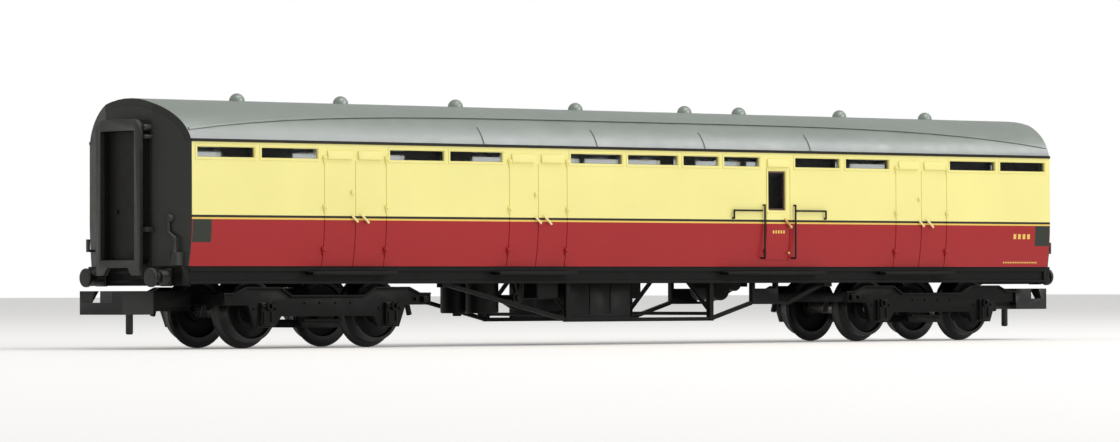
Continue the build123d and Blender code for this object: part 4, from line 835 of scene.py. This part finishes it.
# %% Bogie details
BOGIE_CENTRE = 46.6
AXLES = (-8.7, 8.7)
FRAME_FACE = 8.1
FLANGE_PROUD = 0.22
HUMP = [(14.4, 5.3), (12.9, 5.3), (11.4, 5.94), (6.6, 5.94), (5.1, 5.05)]
FRAME_TOP = HUMP + [(-x, z) for x, z in reversed(HUMP)]
BOX_FACE = FRAME_FACE + 0.5
AXLEBOX_BLOCKS = [  # start and end beside the axle, foot and top, how proud
    (-0.62, 0.62, 1.98, 2.22, 0.12), (-0.62, -0.4, 2.22, 3.4, 0.12), (0.4, 0.62, 2.22, 3.4, 0.12),
    (-0.6, -0.35, 3.5, 4.4, 0.3), (-0.6, 0.1, 4.2, 4.4, 0.3), (-0.6, 0.1, 3.5, 3.7, 0.3),
    (0.0, 0.25, 3.65, 4.25, 0.3), (0.25, 0.85, 3.85, 4.05, 0.2),
]


def frame_bar(bm, start, end, thick, deep, y):
    """A bar along a bogie's side between two places, measured from the bogie's middle."""
    run = Vector((end[0] - start[0], 0, end[1] - start[1]))
    centre = point(BOGIE_CENTRE + (start[0] + end[0]) / 2, y, (start[1] + end[1]) / 2)
    slope = Matrix.Rotation(-atan2(run.z, run.x), 4, "Y")
    size = Matrix.Diagonal(((run.length + thick * 0.5) * MM, deep * MM, thick * MM, 1))
    bmesh.ops.create_cube(bm, size=1, matrix=Matrix.Translation(centre) @ slope @ size)


def bogie_details(name, body, flip):
    """Flanges, axlebox covers and bolts on both sides of one bogie."""
    bm = bmesh.new()
    y = -FRAME_FACE - FLANGE_PROUD / 2
    for start, end in zip(FRAME_TOP, FRAME_TOP[1:]):
        frame_bar(bm, start, end, 0.22, FLANGE_PROUD + 0.06, y)
    for end in (-14.3, 14.3):
        frame_bar(bm, (end, 4.1), (end, 5.25), 0.2, FLANGE_PROUD + 0.06, y)
    for axle in AXLES:
        x = BOGIE_CENTRE + axle
        for start, end, foot, top, proud in AXLEBOX_BLOCKS:
            add_block(bm, (x + start, -BOX_FACE - proud, foot), (x + end, -BOX_FACE + 0.1, top))
        for bolt in (-1.5, 1.5):
            add_block(bm, (x + bolt - 0.14, -FRAME_FACE - 0.14, 3.55),
                      (x + bolt + 0.14, -FRAME_FACE + 0.05, 3.83))
        add_block(bm, (x - 1.15, -FRAME_FACE - 0.16, 1.68), (x + 1.15, -FRAME_FACE + 0.05, 1.86))
    for bolt in (-3.2, -1.1, 1.1, 3.2):
        x = BOGIE_CENTRE + bolt
        add_block(bm, (x - 0.13, -FRAME_FACE - 0.12, 4.2), (x + 0.13, -FRAME_FACE + 0.05, 4.46))
    add_block(bm, (BOGIE_CENTRE - 2.7, -7.35, 2.28), (BOGIE_CENTRE + 2.7, -6.9, 2.52))
    add_block(bm, (BOGIE_CENTRE - 13.9, -FRAME_FACE - 0.5, 4.35),
              (BOGIE_CENTRE - 13.2, -FRAME_FACE + 0.05, 5.0))
    add_block(bm, (BOGIE_CENTRE - 12.6, -FRAME_FACE - 0.35, 4.5),
              (BOGIE_CENTRE - 12.2, -FRAME_FACE + 0.05, 4.9))
    round_edges(bm, 0.05, segments=2)
    mirror_across(bm)
    if flip:
        bmesh.ops.rotate(bm, verts=bm.verts, cent=(0, 0, 0), matrix=Matrix.Rotation(pi, 3, "Z"))
    new_piece(name, bm, bogie_black_painted_shade, body)


bogie_details("bogie_details_front", "bogie_front", False)
bogie_details("bogie_details_rear", "bogie_rear", True)
print("flange lengths on each side frame:", len(FRAME_TOP) - 1)

# %% [markdown]
# The black mouldings are the plates, pipes, buffers, steps and frames below and at the
# ends. Their solids already have the right shapes, and could be modelled again from
# nothing, but rounding the edges of a copy keeps every size and costs one line each.

# %% Rounded black mouldings
ROUNDED = [
    ("bogie_frame_front", "bogie_black", 0.06), ("bogie_frame_rear", "bogie_black", 0.06),
    ("coupler_hook_front", "coupler_black", 0.08), ("coupler_hook_rear", "coupler_black", 0.08),
    ("gangway_plate_front", "end_black", 0.07), ("gangway_plate_rear", "end_black", 0.07),
    ("gangway_fittings_front", "end_black", 0.05), ("gangway_fittings_rear", "end_black", 0.05),
    ("end_pipe_front", "end_black", 0.04), ("end_pipe_rear", "end_black", 0.04),
    ("lamp_iron_front", "end_black", 0.05), ("lamp_iron_rear", "end_black", 0.05),
    ("buffers_front", "underframe_black", 0.06), ("buffers_rear", "underframe_black", 0.06),
    ("footboards_right", "underframe_black", 0.05), ("footboards_left", "underframe_black", 0.05),
    ("truss_right", "underframe_black", 0.05), ("truss_left", "underframe_black", 0.05),
    ("battery_box_right", "underframe_black", 0.05),
    ("battery_box_left", "underframe_black", 0.05),
    ("chassis", "underframe_black", 0.05),
]
for node, slot_name, radius in ROUNDED:
    soften(node, radius)
print("rounded:", len(ROUNDED))
